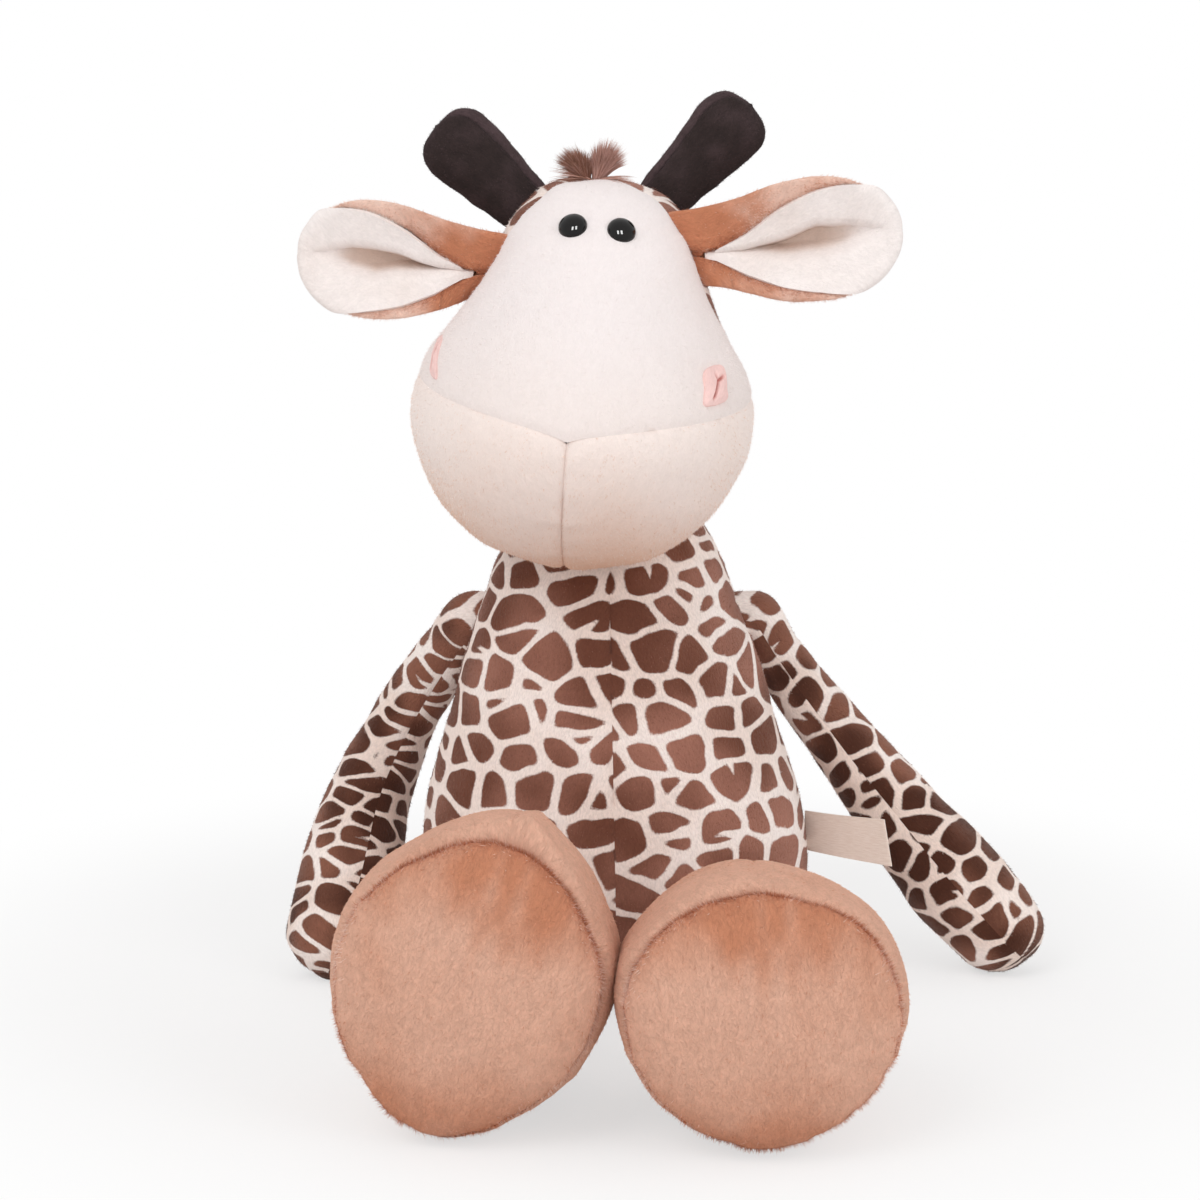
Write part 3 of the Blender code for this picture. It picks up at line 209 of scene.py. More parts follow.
class Patch:
    """A grid of points on a skin between two rows and two columns, with its edges' distances."""

    def __init__(self, skin, rows, columns, step, whole=False):
        self.whole = whole
        fine = np.linspace(*rows, 24 * max(1, round(rows[1] - rows[0])) + 1)
        run = steps_of(skin.points(fine, np.linspace(*columns, 9))).mean(axis=1)
        count = max(4, round(run[-1] / step))
        t = np.interp(np.linspace(0, run[-1], count + 1), run, fine)
        sample = skin.points(t, np.linspace(*columns, 33))
        widest = steps_of(sample.transpose(1, 0, 2))[-1].max()
        v = np.linspace(*columns, max(4, round(widest / step)) + 1)
        self.points = skin.world(skin.points(t, v))
        self.normals = skin.world(skin.normals(t, v), True)
        self.poles = [skin.poles[0] and rows[0] == 0, skin.poles[1] and rows[1] == skin.count]
        across = steps_of(self.points.transpose(1, 0, 2)).T
        down = steps_of(self.points)
        self.edges = {
            "left": across,
            "right": across[:, -1:] - across,
            "top": down,
            "bottom": down[-1:] - down,
        }
        if whole:
            self.edges["left"] = self.edges["right"] = np.full(across.shape, 1.0)
        self.u = across - across[:, len(v) // 2][:, None]
        self.v = np.broadcast_to(down.mean(axis=1)[:, None], across.shape)
        for row, pole in ((0, self.poles[0]), (-1, self.poles[1])):
            if pole:
                self.normals[row] = unit(self.normals[row].mean(axis=0))
        self.print = None
        self.tone = 0.5 + mottle(self.points, USUAL_TONE)

    @classmethod
    def of(cls, points, normals, u, v, tone=None):
        """A patch from points of its own, without a skin."""
        patch = cls.__new__(cls)
        patch.points, patch.normals, patch.u, patch.v, patch.tone = points, normals, u, v, tone
        patch.whole, patch.poles, patch.print = False, [False, False], None
        return patch

    def swell(self, seams, lumps=0.0006, lump_size=0.03):
        """Moves the points: creases along the seams, puckers beside them, and uneven stuffing."""
        rise = mottle(self.points, ((lumps, lump_size, 3), (lumps * 0.5, lump_size * 0.4, 4)))
        lines = {
            "left": self.points[:, :1],
            "right": self.points[:, -1:],
            "top": self.points[:1],
            "bottom": self.points[-1:],
        }
        for edge, (depth, width, pucker) in seams.items():
            d = self.edges[edge]
            line = np.broadcast_to(lines[edge], self.points.shape)
            fade = 1.0
            if edge in ("left", "right"):
                fade = np.clip((self.edges["left"] + self.edges["right"]) / (5 * width), 0, 1)
            rise -= fade * depth * (1 + mottle(line, SEAM_UNEVEN)) * np.exp(-d / width)
            beside = fade * np.exp(-d / PUCKER_REACH) * (1 - np.exp(-d / PUCKER_START))
            rise += pucker * beside * noise(line, PUCKER_SIZE, 11)
        self.points = self.points + self.normals * rise[..., None]
        return self

    def mesh(self, name, thickness=0.0015):
        """One closed object of this patch, with its cloth's thickness, fabric coordinates and print."""
        rows, columns = self.points.shape[:2]
        used = columns - 1 if self.whole else columns
        index = np.arange(rows * used).reshape(rows, used)
        for row, pole in ((0, self.poles[0]), (rows - 1, self.poles[1])):
            if pole:
                index[row] = index[row, 0]
        if self.whole:
            index = np.hstack([index, index[:, :1]])
        kept, flat = np.unique(index, return_inverse=True)
        index = flat.reshape(index.shape)
        corners = np.stack([index[:-1, :-1], index[1:, :-1], index[1:, 1:], index[:-1, 1:]], axis=-1)
        corners = corners.reshape(-1, 4)
        diagonal = self.points[1:, 1:] - self.points[:-1, :-1]
        side = np.cross(self.points[1:, :-1] - self.points[:-1, :-1], diagonal)
        if (side * self.normals[:-1, :-1]).sum() < 0:
            corners = corners[:, ::-1]
        outer = self.points[:, :used].reshape(-1, 3)[kept]
        inner = outer - self.normals[:, :used].reshape(-1, 3)[kept] * thickness
        n = len(outer)
        pairs = np.stack([corners, np.roll(corners, -1, axis=1)], axis=-1).reshape(-1, 2)
        pairs = pairs[pairs[:, 0] != pairs[:, 1]]
        code = pairs[:, 0] * n + pairs[:, 1]
        rim = pairs[~np.isin(pairs[:, 1] * n + pairs[:, 0], code)]
        band = np.stack([rim[:, 1], rim[:, 0], rim[:, 0] + n, rim[:, 1] + n], axis=1)
        faces = np.vstack([corners, corners[:, ::-1] + n, band])
        obj = solid_mesh(name, np.vstack([outer, inner]), faces)
        fabric = np.stack([self.u, self.v, np.zeros_like(self.u)], axis=-1)
        for word, kind, values in (
            ("fabric", "FLOAT_VECTOR", fabric),
            ("print", "FLOAT", self.print),
            ("tone", "FLOAT", self.tone),
        ):
            if values is not None:
                values = values[:, :used].reshape(rows * used, -1)[kept]
                made = obj.data.attributes.new(word, kind, "POINT")
                both = np.concatenate([values, values]).astype(np.float32).ravel()
                made.data.foreach_set("vector" if word == "fabric" else "value", both)
        return obj


def solid_mesh(name, points, corners, slots=None):
    """An object from faces of four corners; a face whose corners repeat becomes a triangle."""
    mesh = bpy.data.meshes.new(name)
    four = np.array(corners).reshape(len(corners), -1)
    if four.shape[1] == 4:
        same = [four[:, k] == four[:, (k + 1) % 4] for k in range(4)]
        three = np.vstack([np.delete(four[same[k]], k, axis=1) for k in range(4)])
        four = four[~np.any(same, axis=0)]
    else:
        three, four = four, np.zeros((0, 4), int)
    mesh.vertices.add(len(points))
    mesh.vertices.foreach_set("co", np.asarray(points, np.float32).ravel())
    loops = np.concatenate([four.ravel(), three.ravel()]).astype(np.int32)
    mesh.loops.add(len(loops))
    mesh.loops.foreach_set("vertex_index", loops)
    mesh.polygons.add(len(four) + len(three))
    starts = np.concatenate([np.arange(len(four)) * 4, four.size + np.arange(len(three)) * 3])
    mesh.polygons.foreach_set("loop_start", starts.astype(np.int32))
    if slots is not None:
        mesh.polygons.foreach_set("material_index", np.asarray(slots, np.int32))
    mesh.update(calc_edges=True)
    mesh.validate()
    mesh.shade_smooth()
    mesh.set_sharp_from_angle(angle=math.radians(62))
    obj = bpy.data.objects.new(name, mesh)
    bpy.context.scene.collection.objects.link(obj)
    return obj


# The printed pattern: cells of a bent honeycomb, some left out, some split, with pale lines between

BODY_CELL, LIMB_CELL = np.array((0.0170, 0.0126)), np.array((0.0148, 0.0116))
LINE_SHARE, CORNER_SHARE = 0.094, 0.060  # a pale line's half width and a corner's rounding
LINE_UNEVEN = ((0.45, 0.013, 25),)
PRINT_BENDS = ((0.0013, 0.012, (21, 22)), (0.0006, 0.004, (23, 24)))
PRINT_MARGIN = 0.02
CELL_JITTER_SHARES = (0.37, 0.29)
LEFT_OUT_SHARE, SPLIT_SHARE, SPLIT_REACH_SHARE, SIZE_SHARE = 0.13, 0.16, 0.40, 0.16
NOTCHED_SHARE, NOTCH_SLOPE, NOTCH_START = 0.05, (0.97, 0.22), 0.0001


def giraffe_print(u, v, cell, seed):
    """How deep each point lies inside a dark patch, in metres, less than 0 on the pale lines."""
    rng = np.random.default_rng(seed)
    place = np.stack([u.ravel(), v.ravel()], axis=1)
    flat = np.hstack([place, np.full((len(place), 1), seed * 0.37)])
    for strength, size, seeds in PRINT_BENDS:
        place = place + strength * np.stack([noise(flat, size, one) for one in seeds], axis=1)
    low, high = place.min(axis=0) - PRINT_MARGIN, place.max(axis=0) + PRINT_MARGIN
    nx, ny = (int(n) for n in np.ceil((high - low) / cell))
    ix, iy = np.meshgrid(np.arange(nx), np.arange(ny), indexing="ij")
    cores = np.stack([ix.ravel() + 0.5 * (iy.ravel() % 2), iy.ravel()], axis=1)
    cores = low + (cores + rng.uniform(-1, 1, cores.shape) * CELL_JITTER_SHARES) * cell
    keep = rng.random(len(cores)) > LEFT_OUT_SHARE
    split = rng.random(len(cores)) < SPLIT_SHARE
    turn = rng.uniform(0, TURN, len(cores))
    away = np.stack([np.cos(turn), np.sin(turn)], axis=1) * cell * SPLIT_REACH_SHARE
    cores = np.vstack([cores[keep], cores[split & keep] + away[split & keep]])
    weight = rng.uniform(-1, 1, len(cores)) * (SIZE_SHARE * cell[0]) * cell[1]
    stretch = np.array([1.0, cell[0] / cell[1]])
    place, cores = place * stretch, cores * stretch
    every = np.arange(len(place))
    power = ((place[:, None] - cores[None]) ** 2).sum(axis=2) - weight
    best = power.argmin(axis=1)
    apart = np.linalg.norm(cores[:, None] - cores[None], axis=2) + np.eye(len(cores))
    gap = (power - power[every, best][:, None]) / (2 * apart[best])
    gap[every, best] = 1.0
    k = CORNER_SHARE * cell[0]
    least = gap.min(axis=1)
    depth = least - k * np.log(np.exp(-(gap - least[:, None]) / k).sum(axis=1))
    depth = depth - LINE_SHARE * cell[0] * (1 + mottle(flat, LINE_UNEVEN))
    notched = rng.random(len(cores)) < NOTCHED_SHARE
    heading = rng.uniform(0, TURN, len(cores))[best]
    local = place - cores[best]
    ahead = local[:, 0] * np.cos(heading) + local[:, 1] * np.sin(heading)
    side = np.abs(local[:, 1] * np.cos(heading) - local[:, 0] * np.sin(heading))
    notch = NOTCH_SLOPE[0] * side - NOTCH_SLOPE[1] * np.maximum(ahead, 0) + np.maximum(-ahead, 0)
    depth = np.where(notched[best], np.minimum(depth, notch - NOTCH_START), depth)
    return depth.reshape(u.shape)


# Materials


def srgb(r, g, b):
    """A screen colour of 0 to 255 as the light that it stands for."""
    return tuple(((c / 255 + 0.055) / 1.055) ** 2.4 for c in (r, g, b)) + (1.0,)


class Tree:
    """A node tree, with short ways to add and join its nodes."""

    def __init__(self, tree):
        self.tree = tree

    def add(self, kind, **values):
        node = self.tree.nodes.new("ShaderNode" + kind)
        for key, value in values.items():
            setattr(node, key, value)
        return node

    def join(self, value, socket):
        """Sets a socket to a number or a colour, or joins it to an output."""
        if isinstance(value, (int, float, tuple)):
            socket.default_value = value
        else:
            self.tree.links.new(value, socket)

    def math(self, kind, a, b):
        node = self.add("Math", operation=kind)
        for socket, value in zip(node.inputs, (a, b)):
            self.join(value, socket)
        return node.outputs[0]

    def seen_rays(self):
        """1 for the rays that show the background, straight or through metal and glass."""
        rays = self.add("LightPath").outputs
        seen = self.math("MAXIMUM", rays["Is Camera Ray"], rays["Is Glossy Ray"])
        return self.math("MAXIMUM", seen, rays["Is Transmission Ray"])

    def blend(self, factor, a, b, into):
        """Mixes two shaders, a at 0 and b at 1."""
        node = self.add("MixShader")
        for socket, value in zip(node.inputs, (factor, a, b)):
            self.join(value, socket)
        self.join(node.outputs[0], self.tree.nodes[into].inputs["Surface"])


class Nodes(Tree):
    """The nodes of a new material."""

    def __init__(self, name, roughness=0.95):
        self.material = bpy.data.materials.new(name)
        self.material.use_nodes = True
        super().__init__(self.material.node_tree)
        self.shader = self.tree.nodes["Principled BSDF"]
        self.set("Roughness", roughness)

    def set(self, word, value):
        self.join(value, self.shader.inputs[word])

    def attribute(self, word, output="Fac"):
        return self.add("Attribute", attribute_name=word).outputs[output]

    def place(self):
        return self.add("TexCoord").outputs["Object"]

    def scaled(self, vector, scale):
        node = self.add("Mapping")
        self.join(scale, node.inputs["Scale"])
        self.join(vector, node.inputs["Vector"])
        return node.outputs["Vector"]

    def noise(self, vector, scale, detail=2.0, distortion=0.0, roughness=0.5):
        node = self.add("TexNoise")
        words = ("Scale", "Detail", "Distortion", "Roughness", "Vector")
        for word, value in zip(words, (scale, detail, distortion, roughness, vector)):
            self.join(value, node.inputs[word])
        return node.outputs["Fac"]

    def ramp(self, value, low, high, out_low=0.0, out_high=1.0):
        node = self.add("MapRange", interpolation_type="SMOOTHSTEP")
        words = ("From Min", "From Max", "To Min", "To Max", "Value")
        for word, one in zip(words, (low, high, out_low, out_high, value)):
            self.join(one, node.inputs[word])
        return node.outputs["Result"]

    def mix(self, factor, a, b, kind="MIX"):
        node = self.add("Mix", data_type="RGBA", blend_type=kind)
        for k, value in ((0, factor), (6, a), (7, b)):
            self.join(value, node.inputs[k])
        return node.outputs[2]

    def colour(self, base, grain=None):
        """Sets the colour, made lighter and darker by a grain about 1."""
        if grain is not None:
            grey = self.add("CombineColor")
            for socket in grey.inputs[:3]:
                self.join(grain, socket)
            base = self.mix(1.0, base, grey.outputs[0], "MULTIPLY")
        self.set("Base Color", base)

    def bump(self, height, distance, strength=1.0):
        node = self.add("Bump")
        for word, value in (("Distance", distance), ("Strength", strength), ("Height", height)):
            self.join(value, node.inputs[word])
        self.set("Normal", node.outputs["Normal"])

    def sheen(self, weight, tint):
        self.set("Sheen Weight", weight)
        self.set("Sheen Roughness", 0.4)
        self.set("Sheen Tint", tint)
        self.set("Specular IOR Level", 0.15)


def plush(name, colour, deep, fibre=0.35, sheen=0.25, bump=0.0005):
    """Brushed pile: fibres along the cloth, and areas where the nap lies another way."""
    m = Nodes(name)
    cloth = m.attribute("fabric", "Vector")
    streaks = m.noise(m.scaled(cloth, (1300, 700, 1)), 1.0, 3.0, 0.9, 0.6)
    clumps = m.noise(m.scaled(cloth, (330, 210, 1)), 1.0, 2.0, 0.6)
    fine = m.ramp(streaks, 0.3, 0.7, 1 - fibre / 2, 1 + fibre / 2)
    grain = m.math("MULTIPLY", fine, m.ramp(clumps, 0.3, 0.7, 1 - fibre / 3, 1 + fibre / 3))
    # The tone mixes in the deep colour: areas that differ at random, and in places painted shade, as in
    # the ears' hollows, low on the muzzle, on the soles and in the nostrils' creases
    m.colour(m.mix(m.ramp(m.attribute("tone"), 0.0, 1.0), colour, deep), grain)
    m.bump(m.math("ADD", streaks, m.math("MULTIPLY", clumps, 1.2)), bump)
    m.sheen(sheen, colour)
    return m.material


FRAY, FRAY_EDGE = 0.0009, 0.00045


def print_cloth(name, dark, darker, pale, pale_deep):
    """Short pile with a printed pattern, whose edges are frayed by the fibres."""
    m = Nodes(name)
    cloth = m.attribute("fabric", "Vector")
    fray = m.noise(m.scaled(cloth, (1800, 1100, 1)), 1.0, 2.0, 0.4)
    fray = m.math("MULTIPLY", m.math("SUBTRACT", fray, 0.5), FRAY)
    inside = m.ramp(m.math("ADD", m.attribute("print"), fray), -FRAY_EDGE, FRAY_EDGE)
    streaks = m.noise(m.scaled(cloth, (1700, 600, 1)), 1.0, 3.0, 0.7, 0.6)
    # The tone mixes in the deep ink and ground: areas that differ at random, and on the arms painted shade
    # and painted light
    area = m.ramp(m.attribute("tone"), 0.0, 1.0)
    base = m.mix(inside, m.mix(area, pale, pale_deep), m.mix(area, dark, darker))
    m.colour(base, m.ramp(streaks, 0.28, 0.72, 0.90, 1.10))
    m.bump(m.math("ADD", streaks, m.math("MULTIPLY", inside, -0.25)), 0.0004)
    m.sheen(0.22, pale)
    return m.material


def shades(name, *colours):
    """Plain materials for fibres that are too thin to show more than one colour."""
    made = []
    for k, colour in enumerate(colours):
        m = Nodes(f"{name}_fibre_{k}", 0.9)
        m.colour(srgb(*colour))
        m.sheen(0.3, srgb(*colour))
        made.append(m.material)
    return made


# The deep colours also carry painted shade where the tone asks for it: in the ears' hollows, low on the
# muzzle, on the soles and in the nostrils' creases
PLUSHES = {  # colour, deep colour, fibre contrast, sheen, bump
    "white": ((243, 235, 234), (238, 227, 223), 0.03, 0.20, 0.0002),
    "lining": ((244, 236, 233), (214, 190, 176), 0.07, 0.20, 0.0003),
    "cream": ((243, 230, 224), (224, 177, 145), 0.04, 0.20, 0.0002),
    "tan": ((220, 172, 149), (195, 130, 99), 0.16, 0.30, 0.0007),
    "ear": ((238, 204, 188), (196, 128, 95), 0.14, 0.30, 0.0004),
    "dark": ((76, 60, 62), (46, 35, 34), 0.26, 0.25, 0.0004),
    "pink": ((244, 208, 203), (206, 128, 120), 0.08, 0.20, 0.0002),
}
PRINTS = {  # name, ink, deep ink, ground, deep ground
    "print": ("giraffe_print", (170, 118, 101), (110, 66, 50), (254, 244, 239), (243, 226, 217)),
    # Painted shade: the arms' print is a darker copy of the print, because the arms are lit less
    "painted_shade_print": ("giraffe_print_painted_shade", (140, 92, 74), (74, 40, 27), (252, 241, 235), (238, 218, 207)),
}
# The fibres' deep shades carry the same painted shade
FIBRES = {
    "white": ((245, 236, 235), (239, 229, 225)),
    "lining": ((247, 240, 237), (236, 224, 217)),
    "cream": ((244, 232, 226), (226, 183, 155)),
    "tan": ((226, 178, 154), (201, 136, 105)),
    "ear": ((238, 206, 190), (200, 136, 105)),
    "dark": ((88, 71, 73), (48, 37, 36)),
    "print": ((254, 245, 240), (244, 228, 220), (174, 124, 108), (114, 70, 54)),
    # Painted shade: darker copies of the print's fibres, for the arms
    "painted_shade_print": ((252, 242, 237), (239, 221, 211), (144, 97, 79), (78, 44, 31)),
}
HAIR = ((160, 117, 98), (188, 146, 132), (204, 163, 152))
MATERIALS = {}
for kind, (colour, deep, *more) in PLUSHES.items():
    MATERIALS[kind] = plush(kind + "_pile", srgb(*colour), srgb(*deep), *more)
for kind, (name, *inks) in PRINTS.items():
    MATERIALS[kind] = print_cloth(name, *(srgb(*ink) for ink in inks))
FIBRES = {kind: shades(kind, *colours) for kind, colours in FIBRES.items()}
SLOTS = {kind: kind + "_plush" for kind in MATERIALS}
SLOTS.update({"lining": "white_plush", "ear": "tan_plush", "painted_shade_print": "print_plush"})

# How a piece gets its material, the nodes that it stands for and what it rides on


def attach(obj, body):
    """body is a body's name to ride on; any other value, such as bend_at's, is not used and leaves the
    piece where it stands.
    """
    if isinstance(body, str):
        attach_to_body(obj, body)
    else:
        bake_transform(obj)


def bend_at(body, name, joint, way, before, after):
    """The bodies on either side of a joint, and the points before and after it along way."""
    return body, name, joint - way * before, joint + way * after


def dress(obj, nodes, kind, body):
    obj.data.materials.append(MATERIALS[kind])
    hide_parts(*nodes)
    attach(obj, body)


def between(grid, i, j, f, g):
    """A grid's values inside its cells, f of the way down and g of the way across."""
    upper = grid[i, j] * (1 - g) + grid[i, j + 1] * g
    lower = grid[i + 1, j] * (1 - g) + grid[i + 1, j + 1] * g
    return upper * (1 - f) + lower * f


FIBRE_DEPTH = 0.0002
FIBRE_SIDES = ((0.0, 1.0), (0.87, -0.5), (-0.87, -0.5))
FIBRE_FACES = ((0, 2, 1), (0, 1, 3), (1, 2, 3), (2, 0, 3))


def add_fuzz(name, patches, kind, body, density=1.0, length=0.0012, lean=0.6, width=0.00016,
             swirl=0.8, comb=None, rim=None, rim_edges=("left", "right")):
    """Short closed fibres over these patches, as one object, combed along comb or the rows.

    density is the fibres on a square millimetre. rim is how far from a patch's edges the fibres
    stand, where only those are wanted.
    """
    roots, tips, sides, slots = [], [], [], []
    for patch in patches:
        p = patch.points
        a, b, c, d = p[:-1, :-1], p[:-1, 1:], p[1:, :-1], p[1:, 1:]
        area = np.linalg.norm(np.cross(d - a, c - b), axis=-1) / 2
        if rim:
            inward = np.min([patch.edges[edge] for edge in rim_edges], axis=0)[:-1, :-1]
            area = area * np.exp(-inward / rim)
        n = int(area.sum() * 1e6 * density)
        cell = random.choice(area.size, n, p=area.ravel() / area.sum())
        i, j = np.divmod(cell, area.shape[1])
        f, g = random.random(n), random.random(n)
        at = between(p, i, j, f[:, None], g[:, None])
        up = unit(np.cross(d[i, j] - a[i, j], c[i, j] - b[i, j]))
        up *= np.sign((up * patch.normals[i, j]).sum(axis=1, keepdims=True))
        down = unit(c[i, j] - a[i, j])
        if comb is not None:
            down = unit(comb - up * (up @ comb)[:, None] + 1e-6 * down)
        across = np.cross(up, down)
        angle = swirl * 1.6 * noise(at, 0.02, 31) + random.normal(0, 0.45, n)
        nap = down * np.cos(angle)[:, None] + across * np.sin(angle)[:, None]
        tilt = np.clip(lean + random.normal(0, 0.12, n), 0.1, 0.92)[:, None]
        way = unit(up * (1 - tilt) + nap * tilt)
        root = at - up * FIBRE_DEPTH
        tip = root + way * length * random.uniform(0.6, 1.25, n)[:, None]
        tip[:, 2] = np.maximum(tip[:, 2], np.minimum(root[:, 2], 0))
        roots.append(root)
        tips.append(tip)
        sides.append(np.stack([unit(np.cross(way, up)), unit(np.cross(way, across))], axis=1))
        # Fibres take the deep shade where the tone is high, so they carry its painted shade too
        shade = (random.random(n) < 0.05 + 0.9 * np.clip(patch.tone[i, j], 0, 1)).astype(int)
        if patch.print is not None:
            shade = shade + 2 * (between(patch.print, i, j, f, g) > 0)
        slots.append(shade)
    root, side = np.vstack(roots), np.vstack(sides)
    points = np.empty((len(root), 4, 3))
    for k, (s, c) in enumerate(FIBRE_SIDES):
        points[:, k] = root + (side[:, 0] * s + side[:, 1] * c) * (width / 2)
    points[:, 3] = np.vstack(tips)
    faces = np.arange(len(root))[:, None, None] * 4 + np.array(FIBRE_FACES)
    slots = np.repeat(np.concatenate(slots), 4)
    obj = solid_mesh(name, points.reshape(-1, 3), faces.reshape(-1, 3), slots)
    for material in FIBRES[kind]:
        obj.data.materials.append(material)
    attach(obj, body)


# The forms, as in the CAD source

BODY_HEIGHT, BODY_HALF_WIDTH, BODY_HALF_DEPTH, BODY_LEAN = 0.152, 0.0705, 0.055, -0.001
NECK_RADIUS = 0.037
BODY_SHIFT = 0.0020
COLLAR = (0.0052, 0.0014, 0, 0, 0)  # how much wider the cloth is round the neck's dome
BODY_SHARES = (
    (0.0, 0.62, 0.66),
    (0.025, 0.80, 0.82),
    (0.10, 0.94, 0.95),
    (0.28, 1.0, 1.0),
    (0.43, 0.975, 0.97),
    (0.62, 0.855, 0.86),
    (0.80, 0.745, 0.76),
    (0.92, 0.655, 0.70),
)
NECK = X * BODY_LEAN + Z * BODY_HEIGHT

HEAD_HEIGHT, HEAD_BOTTOM, HEAD_HALF_WIDTH, HEAD_FRONT, HEAD_BACK = 0.1388, 0.008, 0.0595, 0.097, 0.0345
HEAD_SHARES = (
    (1.0, 0.0, 0.06, -0.06),
    (0.985, 0.27, 0.19, 0.26),
    (0.945, 0.415, 0.30, 0.56),
    (0.862, 0.545, 0.42, 0.79),
    (0.78, 0.61, 0.52, 0.90),
    (0.69, 0.70, 0.65, 0.96),
    (0.605, 0.81, 0.78, 0.99),
    (0.52, 0.925, 0.90, 1.0),
    (0.43, 0.985, 0.98, 0.99),
    (0.337, 0.99, 1.0, 0.95),
    (0.245, 0.925, 0.965, 0.86),
    (0.153, 0.81, 0.885, 0.62),
    (0.077, 0.64, 0.775, 0.17),
    (0.031, 0.43, 0.66, -0.52),
    (0.0, 0.0, 0.48, -1.35),
)
HEAD_MIDDLE_SHARE = 0.55
SMILE_RING = 9
SMILE_RISE, SMILE_CURVE, SMILE_POWER = 0.38, 1.12, 0.6
SIDE_SEAM_TOP, SIDE_SEAM_LOW = math.radians(-27), math.radians(20)
HEAD_OFF, HEAD_LEANS = -0.0125, (0, math.radians(5), math.radians(-4))
HEAD_PLACE = Matrix.Translation(NECK + X * HEAD_OFF) @ Euler(HEAD_LEANS).to_matrix().to_4x4()


def body_skin():
    rings = [(X * BODY_SHIFT, X, -Y, 0, 0, 0)]
    for height, width, depth in BODY_SHARES:
        middle = X * (BODY_LEAN * height + BODY_SHIFT * (1 - height)) + Z * BODY_HEIGHT * height
        reach = BODY_HALF_DEPTH * depth
        rings.append((middle, X, -Y, BODY_HALF_WIDTH * width, reach, reach))
    for k in range(5):
        a = QUARTER * k / 4
        size = NECK_RADIUS * math.cos(a) if k < 4 else 0
        wide, deep = size + COLLAR[k], size + COLLAR[k] / 2
        rings.append((NECK + Z * NECK_RADIUS * math.sin(a), X, -Y, wide, deep, deep))
    return Skin(rings, floor=0)


def side_seam(t, angle):
    """Turns the head's rings so that the side seam leans back towards the muzzle."""
    low = np.clip((t - 2) / (SMILE_RING - 3), 0, 1)
    move = SIDE_SEAM_TOP + (SIDE_SEAM_LOW - SIDE_SEAM_TOP) * low
    move = move * np.clip((len(HEAD_SHARES) - 1 - t) / 3, 0, 1)
    return np.sign(wrapped(angle)) * move * sideways(angle)


def smile(t, angle):
    """Lifts the head's rows near the smile seam, more towards the sides."""
    high = np.interp(t, (3, SMILE_RING, 14), (0, 1, 0))
    return -high * (SMILE_RISE + SMILE_CURVE * np.clip(sideways(angle), 0, 1) ** SMILE_POWER)


def head_skin():
    rings = []
    for height, width, front, back in HEAD_SHARES:
        level = HEAD_BOTTOM + (HEAD_HEIGHT - HEAD_BOTTOM) * height
        ahead, behind = -HEAD_FRONT * front, HEAD_BACK * back
        if width == 0:
            middle = (ahead + behind) / 2
            rings.append((Y * middle + Z * level, X, -Y, 0, 0, 0))
            continue
        centre = ahead + (behind - ahead) * HEAD_MIDDLE_SHARE
        half = HEAD_HALF_WIDTH * width
        rings.append((Y * centre + Z * level, X, -Y, half, centre - ahead, behind - centre))
    return Skin(rings, warp=side_seam, matrix=HEAD_PLACE, shift=smile)


BODY, HEAD = body_skin(), head_skin()
SEAM = (0.0011, 0.0022, 0.0005)
DEEP_SEAM = (0.0016, 0.0015, 0.0012)
SOLE_SEAM = (0.0026, 0.0020, 0.0011)
FOOT_SEAM = (0.0004, 0.0020, 0.0003)
EAR_SEAM = (0.0001, 0.0012, 0.0004)
LIMB_SEAM = (0.0005, 0.0016, 0.0003)
SMILE_SEAM = (0.0008, 0.0011, 0.0004)
BODY_PRINT, HEAD_PRINT = (226, 227, 228, 229), 60
BODY_TONE = ((0.45, 0.024, 51), (0.2, 0.009, 52))


def make_body():
    patches = []
    for k, name in enumerate(("front_right", "back_right", "back_left", "front_left")):
        patch = Patch(BODY, (0, BODY.count), (k * QUARTER, (k + 1) * QUARTER), 0.0011)
        height = np.clip((patch.points[..., 2] - 0.08) / 0.07, -1, 1)
        patch.tone = 0.62 + mottle(patch.points, BODY_TONE) + 0.15 * height - 1.8 * patch.points[..., 0]
        patch.swell({"left": SEAM, "right": SEAM}, 0.0007)
        patch.print = giraffe_print(patch.u, patch.v, BODY_CELL, BODY_PRINT[k])
        dress(patch.mesh(f"body_{name}_cloth"), [f"body_{name}_panel"], "print", "body")
        patches.append(patch)
    add_fuzz("body_pile", patches, "print", "body", 1.0, 0.0011)


